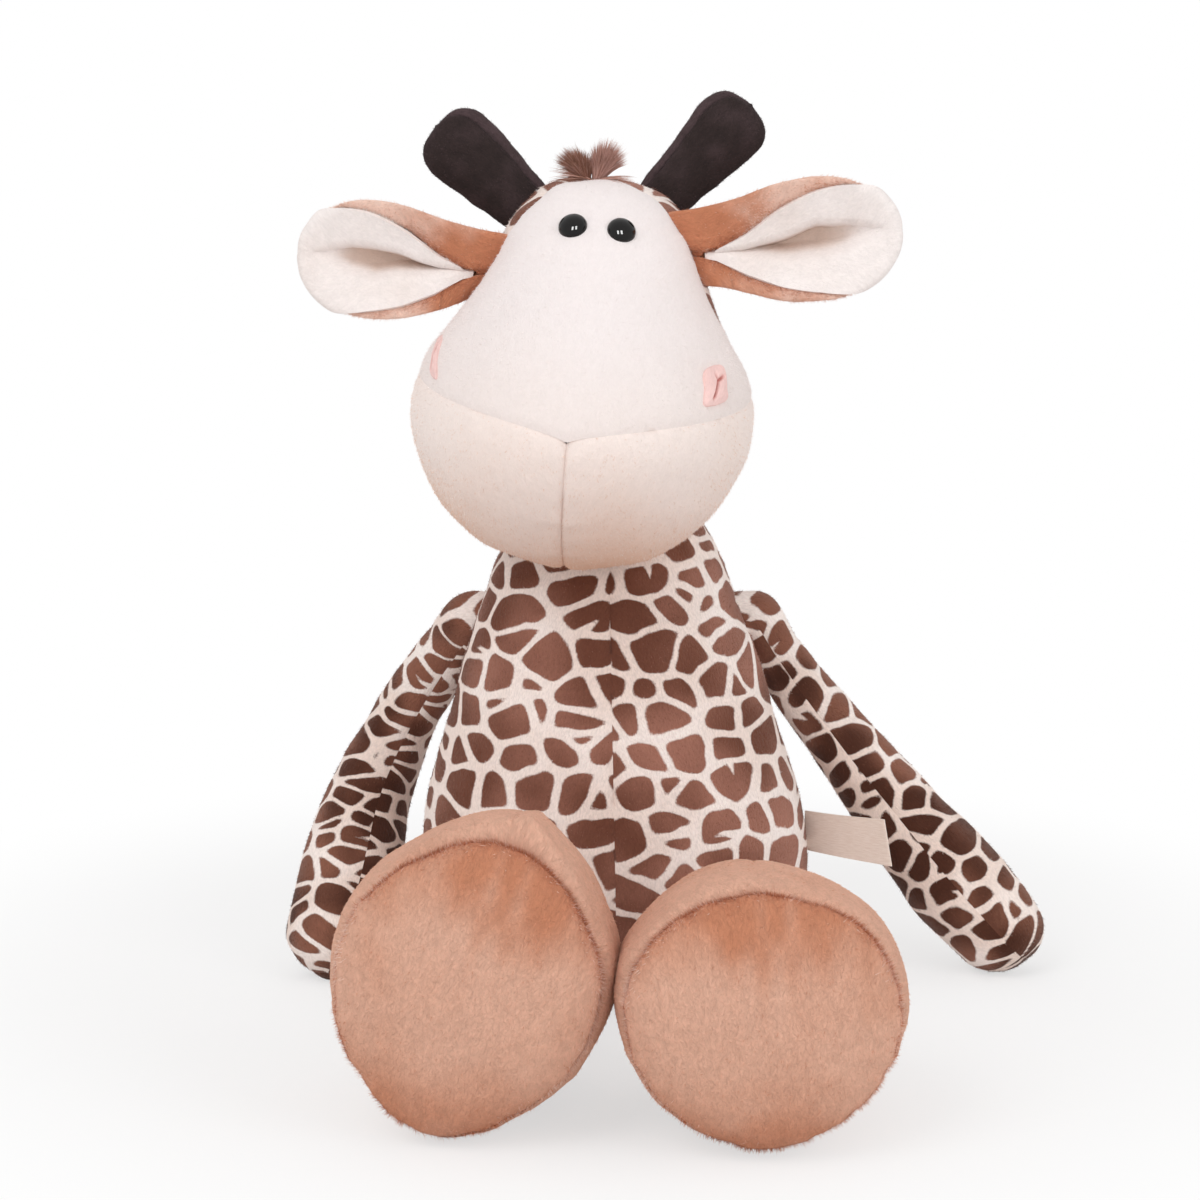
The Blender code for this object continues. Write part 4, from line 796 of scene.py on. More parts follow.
def make_head():
    q, last = QUARTER, HEAD.count
    sides, under = {"left": SEAM, "right": SEAM}, {"top": SMILE_SEAM}
    plan = (
        ("face", (0, SMILE_RING), (-q, q), "white", {**sides, "bottom": SMILE_SEAM}),
        ("muzzle_right", (SMILE_RING, last), (0, q), "cream", {**sides, **under, "left": DEEP_SEAM}),
        ("muzzle_left", (SMILE_RING, last), (-q, 0), "cream", {**sides, **under, "right": DEEP_SEAM}),
        ("head_back_right", (0, last), (q, 2 * q), "print", sides),
        ("head_back_left", (0, last), (2 * q, 3 * q), "print", sides),
    )
    groups = {"white": [], "cream": [], "print": []}
    for k, (name, rows, columns, kind, seams) in enumerate(plan):
        patch = Patch(HEAD, rows, columns, 0.0011 if kind == "print" else 0.0014)
        down = patch.v / patch.v.max()
        if kind == "white":
            patch.tone = 0.15 + 0.85 * down**4 + 0.1 * noise(patch.points, 0.03, 51)
        if kind == "cream":
            # Painted shade: darker towards the bottom, as the light falls from above; the warmer colour
            # there is partly the cloth's own
            patch.tone = 0.02 + 0.90 * down**1.3 + 0.15 * noise(patch.points, 0.03, 51)
        patch.swell(seams, 0.0007)
        if kind == "print":
            patch.print = giraffe_print(patch.u, patch.v, BODY_CELL, HEAD_PRINT + k)
        dress(patch.mesh(name + "_cloth"), [name + "_panel"], kind, "head")
        groups[kind].append(patch)
    for kind, name in (("white", "face"), ("cream", "muzzle"), ("print", "head_back")):
        add_fuzz(name + "_pile", groups[kind], kind, "head")


def skin_point(skin, level, x):
    """The row and column of a skin at this height and this x of its own frame."""
    rows, columns = np.linspace(0, skin.count, 400), np.linspace(-QUARTER, QUARTER, 181)
    points = skin.points(rows, columns)
    off = (points[..., 2] - level) ** 2 + (points[..., 0] - x) ** 2
    row, column = np.unravel_index(off.argmin(), off.shape)
    return rows[row], columns[column]


def level_row(skin, level, angle):
    """The row where this column of a skin is at this height of its own frame."""
    rows = np.linspace(0, skin.count, 600)
    heights = skin.points(rows, np.array([angle]))[:, 0, 2]
    order = np.argsort(heights)
    return float(np.interp(level, heights[order], rows[order]))

# Horns

HORN_LENGTH, HORN_ROOT_LENGTH, HORN_HALF_DEPTH = 0.048, 0.010, 0.0095
HORN_HALF_WIDTH = {"left": 0.0140, "right": 0.0135}
HORN_SEAM_TURN = 0.62  # how far the upper seam lies round to the front
HORN_RIDGE = (0.0010, 0.0010, 0.0009)
HORN_SHARES = (
    (0.0, 0.58),
    (0.22, 0.68),
    (0.45, 0.82),
    (0.66, 0.96),
    (0.79, 1.0),
    (0.87, 0.955),
    (0.93, 0.81),
    (0.97, 0.59),
    (0.992, 0.31),
    (1.0, 0.0),
)
HORN_ROOT = {"left": (-0.0243, 0.006, 0.1236), "right": (0.0178, 0.006, 0.1315)}
HORN_SPLAY = {"left": math.radians(-54), "right": math.radians(38.6)}


def make_horns():
    for side in SIDES:
        s, c = math.sin(HORN_SPLAY[side]), math.cos(HORN_SPLAY[side])
        way, edge = np.array((s, 0, c)), np.array((c, 0, -s))
        root = np.array(HORN_ROOT[side]) - way * HORN_ROOT_LENGTH
        rings = []
        for along, size in HORN_SHARES:
            middle = root + way * (HORN_LENGTH + HORN_ROOT_LENGTH) * along
            width = HORN_HALF_WIDTH[side] * size
            rings.append((middle, -Y, edge, HORN_HALF_DEPTH * size, width, width))
        skin = Skin(rings, matrix=HEAD_PLACE)
        name, patches = "horn_" + side, []
        ridge = {"left": HORN_RIDGE, "right": HORN_RIDGE}
        low = HORN_SEAM_TURN if side == "left" else 0
        high = math.pi - (HORN_SEAM_TURN if side == "right" else 0)
        for part, columns in (("front", (low, high)), ("back", (high, TURN + low))):
            patch = Patch(skin, (0.6, skin.count), columns, 0.0012).swell(ridge, 0.0006)
            patch.tone = (0.8 if part == "front" else 0.15) + 0.3 * noise(patch.points, 0.006, 57)
            nodes = [f"{name}_{part}_panel"]
            if part == "front":
                nodes.append(name + "_stuffing")
            dress(patch.mesh(f"{name}_{part}_cloth"), nodes, "dark", "head")
            patches.append(patch)
        add_fuzz(name + "_pile", patches, "dark", "head", 1.6, 0.0010)


# Ears

EAR_HALF_THICKNESS, EAR_CUP = 0.0036, 0.0105
EAR_HALF_WIDTH = {"left": 0.0206, "right": 0.0211}
EAR_LENGTH = {"left": 0.0642, "right": 0.0705}
EAR_LEVEL = {"left": 0.755 * HEAD_HEIGHT, "right": 0.851 * HEAD_HEIGHT}
EAR_LIFT = {"left": 0.0, "right": math.radians(10.8)}
EAR_SHARES = (  # along, half width, cup, lining's low and high edges in degrees, stuffing
    (-0.06, 0.56, 0.10, -9, -6, 0.5),
    (0.0, 0.60, 0.15, -12, -8, 0.6),
    (0.10, 0.66, 0.45, -20, -4, 0.8),
    (0.25, 0.79, 0.80, -41, 12, 0.95),
    (0.42, 0.94, 1.0, -54, 34, 1.0),
    (0.60, 1.0, 0.95, -63, 50, 1.0),
    (0.76, 0.93, 0.75, -80, 62, 0.95),
    (0.89, 0.71, 0.45, -97, 80, 0.85),
    (0.965, 0.43, 0.18, -104, 100, 0.7),
    (0.992, 0.22, 0.08, -106, 104, 0.5),
    (1.0, 0.0, 0.05, -106, 106, 0.0),
)
HOLLOW_SHARES = (  # along, the middle and the half width of the cup's hollow, and its depth
    (0.0, -0.10, 0.02, 0.3),
    (0.12, -0.12, 0.03, 0.8),
    (0.25, -0.10, 0.09, 1.0),
    (0.42, -0.07, 0.19, 1.0),
    (0.60, -0.02, 0.28, 0.95),
    (0.74, 0.04, 0.27, 0.70),
    (0.86, 0.06, 0.18, 0.25),
    (0.95, 0.06, 0.10, 0.0),
)
EAR_HOLLOW = 0.0085
EAR_LINING_START = 1.5
EAR_SET_BACK = 0.003  # how far the ears' roots stand behind the face's side seams
EAR_BACK_TONE, EAR_LINING_TONE = ((0.35, 0.012, 53), (0.2, 0.005, 54)), ((0.15, 0.012, 55),)
# The first table: how fast the ear's back pales from the root outward, partly a painted highlight of the
# nap towards the rim. The second: painted shade, how much darker the lining is deep in the cup's hollow
EAR_FADE_AND_HIGHLIGHT, EAR_HOLLOW_PAINTED_SHADE = {"left": 1.9, "right": 1.5}, {"left": 0.95, "right": 0.65}
EAR_TUCK, EAR_TUCK_REACH = 0.0022, 0.004  # the lining's root goes in below the ear's back


def ear_share(t, column):
    """A column of EAR_SHARES at these rows."""
    return np.interp(t, np.arange(len(EAR_SHARES)), np.array(EAR_SHARES)[:, column])


class EarSkin(Skin):
    """A flat stuffed leaf, folded lengthwise, whose first rows follow the head's side seam."""

    def __init__(self, side):
        self.side, self.sign = side, SIDES[side]
        lift = EAR_LIFT[side]
        self.lift = lift
        self.way = np.array((self.sign * math.cos(lift), 0, math.sin(lift)))
        self.up = np.array((-self.sign * math.sin(lift), 0, math.cos(lift)))
        rings = []
        for row in EAR_SHARES:
            thick = EAR_HALF_THICKNESS * row[5]
            middle = self.way * EAR_LENGTH[side] * row[0]
            rings.append((middle, self.up, -Y, EAR_HALF_WIDTH[side] * row[1], thick, thick))
        place = Matrix.Translation(JOINTS[f"ear_{side}_flap"]) @ HEAD_PLACE.to_3x3().to_4x4()
        super().__init__(rings, matrix=place)
        self.poles[0] = False
        rises = np.linspace(-0.024, 0.024, 49)
        seam = np.array([self.seam(rise * math.cos(lift)) for rise in rises]) - self.seam(0)
        self.rises, self.seam_x, self.seam_y = rises, seam[:, 0], seam[:, 1]

    def seam(self, rise):
        angle = self.sign * QUARTER
        row = level_row(HEAD, EAR_LEVEL[self.side] + rise, angle)
        return HEAD.points(np.array([row]), np.array([angle]))[0, 0]

    def turned(self, t, angle):
        """Spreads the columns so that those of a quarter turn lie on the lining's edges."""
        low, high = np.radians(ear_share(t, 3)), np.radians(ear_share(t, 4))
        angle = wrapped(angle)
        front = low + (angle + QUARTER) / math.pi * (high - low)
        above = high + (angle - QUARTER) / math.pi * (TURN + low - high)
        below = low + (angle + QUARTER) / math.pi * (TURN + low - high)
        return np.where(angle > QUARTER, above, np.where(angle < -QUARTER, below, front))

    def points(self, t, v):
        angle = np.broadcast_to(v[None, :], (len(t), len(v)))
        angle = self.turned(t[:, None], angle)
        r = self.ring(t)[:, None, :]
        across, facing = np.sin(angle), np.cos(angle)
        rise = across * r[..., 9]
        along = ear_share(t, 0)[:, None]
        deep = EAR_CUP * ear_share(t, 2)[:, None] * (0.5 - np.abs(across) ** 1.6)
        hollows = np.array(HOLLOW_SHARES).T
        middle, half, depth = (np.interp(along, hollows[0], column) for column in hollows[1:])
        beside = across - middle + 0.05 * noise(r[..., 0:3], 0.010, 71)
        off = np.where(beside > 0, (half + 0.05 - beside) / 0.13, (half + 0.15 + beside) / 0.36)
        off = np.clip(off, 0, 1)
        deep = deep + EAR_HOLLOW * depth * off * off * (3 - 2 * off) - 0.0015
        deep = deep - facing * r[..., 10] * (1 + 0.5 * np.abs(across) ** 3)
        follow = np.clip(1 - along / 0.3, 0, 1.2) ** 2
        out = r[..., 0:3] + self.up * rise[..., None]
        set_back = EAR_SET_BACK + np.interp(rise, self.rises, self.seam_y)
        out = out + Y * (deep + follow * set_back)[..., None]
        lean = np.interp(rise, self.rises, self.seam_x) + self.sign * rise * math.sin(self.lift)
        return out + X * (follow * lean)[..., None]

    def hollow(self, patch):
        """How deep each point of a patch lies in the cup, of 0 to 1."""
        place = np.array(self.matrix)
        local = (patch.points - place[:3, 3]) @ place[:3, :3]
        return np.clip((local[..., 1] - 0.001) / 0.006, 0, 1)


def make_ears():
    for side, sign in SIDES.items():
        skin = EarSkin(side)
        root = JOINTS[f"ear_{side}_flap"]
        name, q = "ear_" + side, QUARTER
        bend = bend_at("head", name, root, HEAD.world(skin.way, True), 0.002, 0.016)
        back = Patch(skin, (0, skin.count), (q, TURN - q), 0.0010)
        away = np.linalg.norm(back.points - root, axis=-1) / EAR_LENGTH[side]
        # Darker near the root and paler outward; the paleness near the rim is partly a painted highlight
        # where the nap catches the light
        back.tone = 1.25 - EAR_FADE_AND_HIGHLIGHT[side] * away + mottle(back.points, EAR_BACK_TONE)
        back.swell({"left": EAR_SEAM, "right": EAR_SEAM}, 0.0005)
        dress(back.mesh(name + "_back_cloth"), [name + "_back"], "ear", bend)
        lining = Patch(skin, (EAR_LINING_START, skin.count), (-q, q), 0.0010)
        # Painted shade: the lining darkens deep in the hollow
        lining.tone = 0.15 + mottle(lining.points, EAR_LINING_TONE) + EAR_HOLLOW_PAINTED_SHADE[side] * skin.hollow(lining)
        lining.swell({"left": EAR_SEAM, "right": EAR_SEAM}, 0.0005)
        tucked = EAR_TUCK * np.exp(-lining.v / EAR_TUCK_REACH)
        lining.points = lining.points + Y * tucked[..., None]
        nodes = [name + "_lining"]
        dress(lining.mesh(name + "_lining_cloth"), nodes, "lining", bend)
        add_fuzz(name + "_back_pile", [back], "ear", bend, 1.5, 0.0013)
        add_fuzz(name + "_lining_pile", [lining], "lining", bend, 1.5, 0.0012)
        more = {"lean": 0.5, "swirl": 1.5, "rim": 0.0012}
        add_fuzz(name + "_back_rim", [back], "ear", bend, 18, 0.0014, **more)
        add_fuzz(name + "_lining_rim", [lining], "lining", bend, 18, 0.0015, **more)


# Arms

ARM_LENGTH, ARM_ROOT_RADIUS, ARM_HAND_RADIUS = 0.146, 0.0105, 0.0165
ARM_SHARES = (
    (0.0, -0.05),
    (0.10, -0.10),
    (0.22, 0.05),
    (0.42, 0.35),
    (0.62, 0.85),
    (0.82, 1.30),
    (1.0, 1.10),
)
ARM_DRAWN_IN = {"left": 0.0066, "right": 0.0042}  # how far its upper half lies nearer to the body
ARM_PRINT = {"left": 310, "right": 308}
ARM_SEAM_TURN = 0.45  # how far round to the outer side its front seam lies
ARM_BOW_BACK = {"left": 0.028, "right": 0.006}
ARM_BOW_OUT = {"left": 0.0060, "right": -0.0041}
ARM_TWIST = {"left": 0.22, "right": 0}  # how far it is turned about its own line
ARM_CHORD_SHARE = {"left": 0.849, "right": 0.988}
ARM_HAND_FORWARD = {"left": 0.012, "right": 0.006}
ARM_TONE = ((0.9, 0.022, 51), (0.3, 0.008, 52))
ARM_GATHER_END, ARM_GATHER_REACH, ARM_FOLD, ARM_PALE_AT_ROOT = 0.012, 0.005, 0.0009, 0.0032


def arm_form(side, sign):
    """An arm's skin, its root, the way that it leaves, and its two panels' columns."""
    start = JOINTS[f"arm_{side}_lift"]
    drop = start[2] - ARM_HAND_RADIUS
    chord = ARM_LENGTH * ARM_CHORD_SHARE[side]
    ahead = ARM_HAND_FORWARD[side]
    reach = math.sqrt(chord**2 - drop**2 - ahead**2)
    end = start + np.array((sign * reach, -ahead, -drop))
    outward = np.array((sign * drop, 0, reach)) / math.hypot(drop, reach)
    bow = Y * ARM_BOW_BACK[side] + outward * ARM_BOW_OUT[side]
    control = (start + end) / 2 + 2 * bow
    across = unit(np.cross(end - start, Y + outward * ARM_TWIST[side]))
    rings = []
    for share, size in ARM_SHARES:
        middle, way = curve(start, control, end, share)
        middle = middle - X * sign * ARM_DRAWN_IN[side] * max(0, 1 - share / 0.6)
        radius = ARM_ROOT_RADIUS + (ARM_HAND_RADIUS - ARM_ROOT_RADIUS) * size
        front = np.cross(across, way)
        if share == 0:
            for inward, low, turn in ((0.013, 0.003, 0.9), (0.0065, 0.0, 0.5)):
                bent = unit(way * (1 - turn) + X * sign * turn)
                side_way = unit(across - bent * (across @ bent))
                place = middle - X * sign * inward - Z * low
                size_in = radius * (1.0 - 4 * low)
                ring = (place, side_way, np.cross(side_way, bent), size_in, size_in, size_in)
                if not rings:
                    rings.append((place - X * sign * 0.003, *ring[1:3], 0, 0, 0))
                rings.append(ring)
        rings.append((middle, across, front, radius, radius, radius))
    rings += reversed(round_end(middle, way, across, front, radius, 1))
    _, way = curve(start, control, end, 0)
    if across[0] * sign > 0:
        plan = (("outer", (ARM_SEAM_TURN, math.pi)), ("inner", (math.pi, TURN + ARM_SEAM_TURN)))
    else:
        plan = (("inner", (-ARM_SEAM_TURN, math.pi)), ("outer", (math.pi, TURN - ARM_SEAM_TURN)))
    return Skin(rings, floor=0), start, way, plan


def arm_print(patches, seed):
    """A print that runs on across the front seam of an arm's two panels."""
    off = [patches[0].edges["left"], -patches[1].edges["right"]]
    along = [patches[0].edges["top"][:, :1], patches[1].edges["top"][:, -1:]]
    u = np.concatenate([one.ravel() for one in off])
    v = np.concatenate([np.broadcast_to(one, flat.shape).ravel() for one, flat in zip(along, off)])
    depth = giraffe_print(u, v, LIMB_CELL, seed)
    return depth[: off[0].size].reshape(off[0].shape), depth[off[0].size :].reshape(off[1].shape)


def make_arms():
    for side, sign in SIDES.items():
        skin, start, way, plan = arm_form(side, sign)
        name = "arm_" + side
        bend = bend_at("body", name, start, way, 0.006, 0.016)
        patches = [Patch(skin, (0, skin.count), columns, 0.0010) for _, columns in plan]
        prints = arm_print(patches, ARM_PRINT[side])
        for (part, _), patch, ink in zip(plan, patches, prints):
            patch.tone = 0.54 + mottle(patch.points, ARM_TONE)
            # Painted shade: darker towards the hand
            patch.tone = patch.tone + 0.35 * np.clip((patch.v - 0.09) / 0.03, 0, 1)
            # Painted light: the outer panel is lighter, where it faces the light
            if part == "outer":
                patch.tone = patch.tone - 0.3
            patch.swell({"left": LIMB_SEAM, "right": LIMB_SEAM}, 0.0009, 0.02)
            gathered = np.exp(-np.maximum(patch.v - ARM_GATHER_END, 0) / ARM_GATHER_REACH)
            folds = noise(np.stack([patch.u, patch.v * 0.2, patch.u * 0], axis=-1), 0.0030, 91)
            patch.points = patch.points + patch.normals * (ARM_FOLD * gathered * folds)[..., None]
            patch.print = ink - ARM_PALE_AT_ROOT * gathered
            nodes = [f"{name}_{part}_panel"]
            if part == "outer":
                nodes.append(name + "_stuffing")
            dress(patch.mesh(f"{name}_{part}_cloth"), nodes, "painted_shade_print", bend)
        add_fuzz(name + "_pile", patches, "painted_shade_print", bend)


# Legs and feet

LEG_RADIUS, ANKLE_RADIUS, LEG_LENGTH = 0.019, 0.0195, 0.044
FOOT_HALF_WIDTH = {"left": 0.0436, "right": 0.0449}
FOOT_HALF_HEIGHT = {"left": 0.0500, "right": 0.0430}
FOOT_LENGTH = {"left": 0.0900, "right": 0.1010}
FOOT_MIDDLE = {"left": -0.0436, "right": 0.0451}
FOOT_TURN = {"left": math.radians(-7), "right": 0.0}
FOOT_ROLL = {"left": math.radians(16), "right": math.radians(-2)}
FOOT_EGG = 0.06
FOOT_CORNERS = {"left": 0.022, "right": 0.006}
FOOT_SHARES = (
    (0.0, 0.0),
    (0.12, 0.42),
    (0.28, 0.78),
    (0.46, 0.96),
    (0.64, 1.0),
    (0.82, 0.965),
    (0.93, 0.76),
    (0.982, 0.42),
    (1.0, -1.0),
)
SOLE_RING, TOE_SHARE = 5, 0.64
FOOT_TONE, SOLE_TONE = ((0.2, 0.02, 51), (0.12, 0.007, 52)), ((0.24, 0.018, 51), (0.10, 0.007, 52))
PEAK_HEIGHT, PEAK_OFF, PEAK_SPREAD, PEAK_END = 0.0086, 0.006, 0.010, 0.005
PEAK_WAY = Z * 0.9 - Y * 0.1


def make_legs():
    for side in SIDES:
        hip = JOINTS[f"leg_{side}_raise"]
        turn = FOOT_TURN[side]
        ahead = np.array((math.sin(turn), -math.cos(turn), 0))
        across = np.array((math.cos(turn), math.sin(turn), 0))
        length = FOOT_LENGTH[side]
        ankle_x = FOOT_MIDDLE[side] - ahead[0] * length * TOE_SHARE
        ankle = np.array((ankle_x, hip[1] - LEG_LENGTH, ANKLE_RADIUS + 0.0003))
        control = ankle - ahead * LEG_LENGTH / 2
        rings = []
        for share in (0, 0.333, 0.667, 1):
            middle, way = curve(hip, control, ankle, share)
            side_way = unit(np.cross(way, Z))
            side_way = side_way * np.sign(side_way[0])
            upright = np.cross(side_way, way)
            upright = upright * np.sign(upright[2])
            size = LEG_RADIUS + (ANKLE_RADIUS - LEG_RADIUS) * share
            if share == 0:
                rings += round_end(middle, way, side_way, upright, size, -1)
            if share == 1:
                middle, side_way, upright = ankle, across, Z
            rings.append((middle, side_way, upright, size, size, size))
        leg = Skin(rings, floor=0)
        name = "leg_" + side
        bend = bend_at("body", name, hip, -Y, 0.012, 0.012)
        patches = []
        for k, (part, columns) in enumerate((("right", (0, math.pi)), ("left", (math.pi, TURN)))):
            patch = Patch(leg, (0, leg.count), columns, 0.0013).swell({"left": SEAM, "right": SEAM})
            patch.print = giraffe_print(patch.u, patch.v, LIMB_CELL, 110 + k)
            nodes = [f"{name}_{part}_panel"]
            if part == "right":
                nodes.append(name + "_stuffing")
            dress(patch.mesh(f"{name}_{part}_cloth"), nodes, "print", bend)
            patches.append(patch)
        add_fuzz(name + "_pile", patches, "print", bend, 0.6)
        make_foot(side, name, ankle + ahead * 0.0003, ahead, across, length)


def make_foot(side, body, ankle, ahead, across, length):
    half_width, half_height = FOOT_HALF_WIDTH[side], FOOT_HALF_HEIGHT[side]
    top = half_height - ankle[2]
    roll = FOOT_ROLL[side]
    wide = across * math.cos(roll) - Z * math.sin(roll)
    tall = Z * math.cos(roll) + across * math.sin(roll)
    rings = []
    for along, size in FOOT_SHARES:
        if size < 0:
            rings.append((ankle + ahead * length * along + Z * top, wide, tall, 0, 0, 0))
            continue
        opening = ANKLE_RADIUS if along < TOE_SHARE else 0
        width = opening + (half_width - opening) * size
        height = opening + (half_height - opening) * size
        middle = ankle + ahead * length * along + Z * top * (size if opening else 1)
        rings.append((middle, wide, tall, width, height, height))
    skin = Skin(rings, floor=0, egg=FOOT_EGG, corners=FOOT_CORNERS[side])
    name, patches = "foot_" + side, []
    for part, columns in (("right", (0, math.pi)), ("left", (math.pi, TURN))):
        patch = Patch(skin, (0, SOLE_RING), columns, 0.0014)
        patch.tone = 0.10 + mottle(patch.points, FOOT_TONE)
        patch.swell({"left": FOOT_SEAM, "right": FOOT_SEAM, "bottom": SOLE_SEAM}, 0.0010)
        if side == "left":
            off = patch.edges["right"] + PEAK_OFF
            if part == "right":
                off = np.abs(patch.edges["left"] - PEAK_OFF)
            share = np.clip(patch.v / patch.v.max() * 1.6 - 0.5, 0, 1)
            share = share * np.clip(patch.edges["bottom"] / PEAK_END, 0, 1)
            peak = PEAK_HEIGHT * np.exp(-off / PEAK_SPREAD) * share
            patch.points = patch.points + PEAK_WAY * peak[..., None]
        nodes = [f"{name}_{part}_upper"]
        if part == "right":
            nodes.append(name + "_stuffing")
        dress(patch.mesh(f"{name}_{part}_upper_cloth"), nodes, "tan", body)
        patches.append(patch)
    sole = Patch(skin, (SOLE_RING, skin.count), (0, TURN), 0.0014, whole=True)
    middle = ankle + ahead * length + Z * top
    sole.u = (sole.points - middle) @ wide
    sole.v = -(sole.points - middle) @ tall
    high = -sole.v / half_height
    # Darker just below the top seam, partly the nap and partly painted shade, and darker towards the
    # floor, painted shade
    sole.tone = 0.75 * np.clip((high - 0.30) / 0.5, 0, 1) + 0.55 * np.clip((-high - 0.25) / 0.6, 0, 1)
    sole.tone = 0.12 + sole.tone + mottle(sole.points, SOLE_TONE)
    streaks = noise(np.stack([sole.u, sole.v * 0.25, 0 * sole.u], axis=-1), 0.0045, 58)
    sole.tone = sole.tone + 0.22 * streaks * np.clip(high + 0.2, 0, 1)
    sole.swell({"top": SOLE_SEAM}, 0.0012)
    dress(sole.mesh(name + "_sole_cloth"), [name + "_sole"], "tan", body)
    patches.append(sole)
    nap = {"comb": -Z, "swirl": 0.8, "lean": 0.88}
    add_fuzz(name + "_pile", patches, "tan", body, 1.1, 0.0014, width=0.00024, **nap)
    rim = {"lean": 0.45, "swirl": 2.0, "width": 0.00026, "rim": 0.0016, "rim_edges": ("top",)}
    add_fuzz(name + "_seam_pile", [sole], "ear", body, 7, 0.0022, **rim)


# Eyes, nostrils, hair, tail and label


def frame_at(skin, t, v):
    """The point, outward and rightward directions of a skin at a row and column."""
    rows, columns = np.array([t]), np.array([v])
    point = skin.world(skin.points(rows, columns))[0, 0]
    out = unit(skin.world(skin.normals(rows, columns), True)[0, 0])
    right = unit(np.cross(Z, out))
    return point, out, right * (1 if right[0] > 0 else -1)


def turned(name, profile, base, out, right, segments=48):
    """A closed solid of revolution about the line out, from (radius, distance) pairs."""
    other = np.cross(out, right)
    angles = np.arange(segments) * TURN / segments
    ring = np.cos(angles)[:, None] * right + np.sin(angles)[:, None] * other
    points, rows = [], []
    for radius, along in profile:
        rows.append(np.arange(segments) + len(points) if radius else np.full(segments, len(points)))
        at = base + out * along + ring * radius
        points.extend(at if radius else at[:1])
    faces = []
    for low, high in zip(rows, rows[1:]):
        faces.append(np.stack([low, np.roll(low, -1), np.roll(high, -1), high], axis=1))
    return solid_mesh(name, np.array(points), np.vstack(faces))


EYE_RADIUS, EYE_HEIGHT, EYE_SPACING, EYE_LEVEL = 0.005, 0.0036, 0.0168, 0.8915 * HEAD_HEIGHT
EYE_SUNK, SHANK_RADIUS, SHANK_END = 0.0008, 0.0016, 0.0075


def make_eyes():
    m = Nodes("eye_gloss", 0.05)
    faint = m.noise(m.place(), 900, 3.0)
    m.colour(m.mix(m.ramp(faint, 0.3, 0.7), srgb(8, 6, 6), srgb(16, 12, 11)))
    m.bump(faint, 0.00001, 0.3)
    m.set("Specular IOR Level", 0.30)
    for side, sign in SIDES.items():
        t, v = skin_point(HEAD, EYE_LEVEL, sign * EYE_SPACING / 2)
        point, out, right = frame_at(HEAD, t, v)
        base = point - out * EYE_SUNK
        low = -SHANK_END
        profile = [(0, low), (SHANK_RADIUS, low), (SHANK_RADIUS, -0.0006), (EYE_RADIUS - 0.0003, -0.0006)]
        profile.append((EYE_RADIUS, -0.0002))
        for k in range(12):
            a = QUARTER * k / 12
            profile.append((EYE_RADIUS * math.cos(a), 0.0002 + EYE_HEIGHT * math.sin(a)))
        profile.append((0, 0.0002 + EYE_HEIGHT))
        eye = turned("eye_dome_" + side, profile, base, out, right)
        eye.data.materials.append(m.material)
        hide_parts("eye_" + side)
        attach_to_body(eye, "head")


NOSTRIL_LEVEL, NOSTRIL_HEIGHT = 0.5480 * HEAD_HEIGHT, 0.0112
NOSTRIL_WIDTH = {"left": 0.0055, "right": 0.0122}
NOSTRIL_ANGLE = {"left": math.radians(-58), "right": math.radians(50)}
NOSTRIL_SLANT = {"left": -0.15, "right": -0.07}
NOSTRIL_CREASES = (  # where it starts, which way it runs, how deep, how long
    (0.02, 0.20, -112, 1.0, 1.05),
    (0.02, 0.20, 14, 0.85, 0.75),
    (0.02, 0.20, 118, 0.5, 0.6),
)


def make_nostrils():
    """Soft pink patches, pinched in by a few stitches, with painted shade in the creases."""
    for side, sign in SIDES.items():
        rows, spread = np.linspace(-1, 1, 41), np.linspace(-1, 1, 37)
        a, b = np.meshgrid(rows, spread, indexing="ij")
        wobble = 1 + 0.05 * noise(np.stack([a, b * 0, b * 0], axis=-1), 0.5, 17)
        reach = np.clip(1 - np.abs(a) ** 5, 0, 1) ** 0.3 * wobble
        points, normals = np.zeros(a.shape + (3,)), np.zeros(a.shape + (3,))
        for i, share in enumerate(rows):
            t = level_row(HEAD, NOSTRIL_LEVEL - share * NOSTRIL_HEIGHT / 2, NOSTRIL_ANGLE[side])
            columns = NOSTRIL_ANGLE[side] + sign * NOSTRIL_SLANT[side] * share
            columns = columns + spread * reach[i] * NOSTRIL_WIDTH[side] / 2 / 0.0555
            points[i] = HEAD.points(np.array([t]), columns)[0]
            normals[i] = HEAD.normals(np.array([t]), columns)[0]
        normals = HEAD.world(normals, True)
        x, y = b * reach, -a
        edge = np.clip(1 - np.maximum(np.abs(a), np.abs(b)), 0, 1)
        crease = np.zeros(a.shape)
        for x0, y0, heading, strength, long in NOSTRIL_CREASES:
            way = math.radians(heading)
            along = (x - x0) * math.cos(way) + (y - y0) * math.sin(way)
            off = np.abs((y - y0) * math.cos(way) - (x - x0) * math.sin(way))
            line = np.exp(-((off / 0.09) ** 2)) * np.clip(along / 0.10 + 0.7, 0, 1)
            crease = np.maximum(crease, strength * line * np.clip((long - along) / 0.3, 0, 1))
        swell = 0.0003 * noise(np.stack([x, y, y * 0], axis=-1), 0.35, 19)
        rise = 0.0004 + 0.0008 * np.minimum(1, edge * 3.0) ** 0.7 - 0.0018 * crease + swell
        points = HEAD.world(points) + normals * rise[..., None]
        # Painted shade: the creases are darker
        tone = crease + 0.10 * noise(points, 0.003, 5) + 0.05
        patch = Patch.of(points, normals, b * 0.006, a * 0.0067, tone)
        obj = patch.mesh("nostril_patch_" + side, 0.0012)
        dress(obj, ["nostril_" + side], "pink", "head")


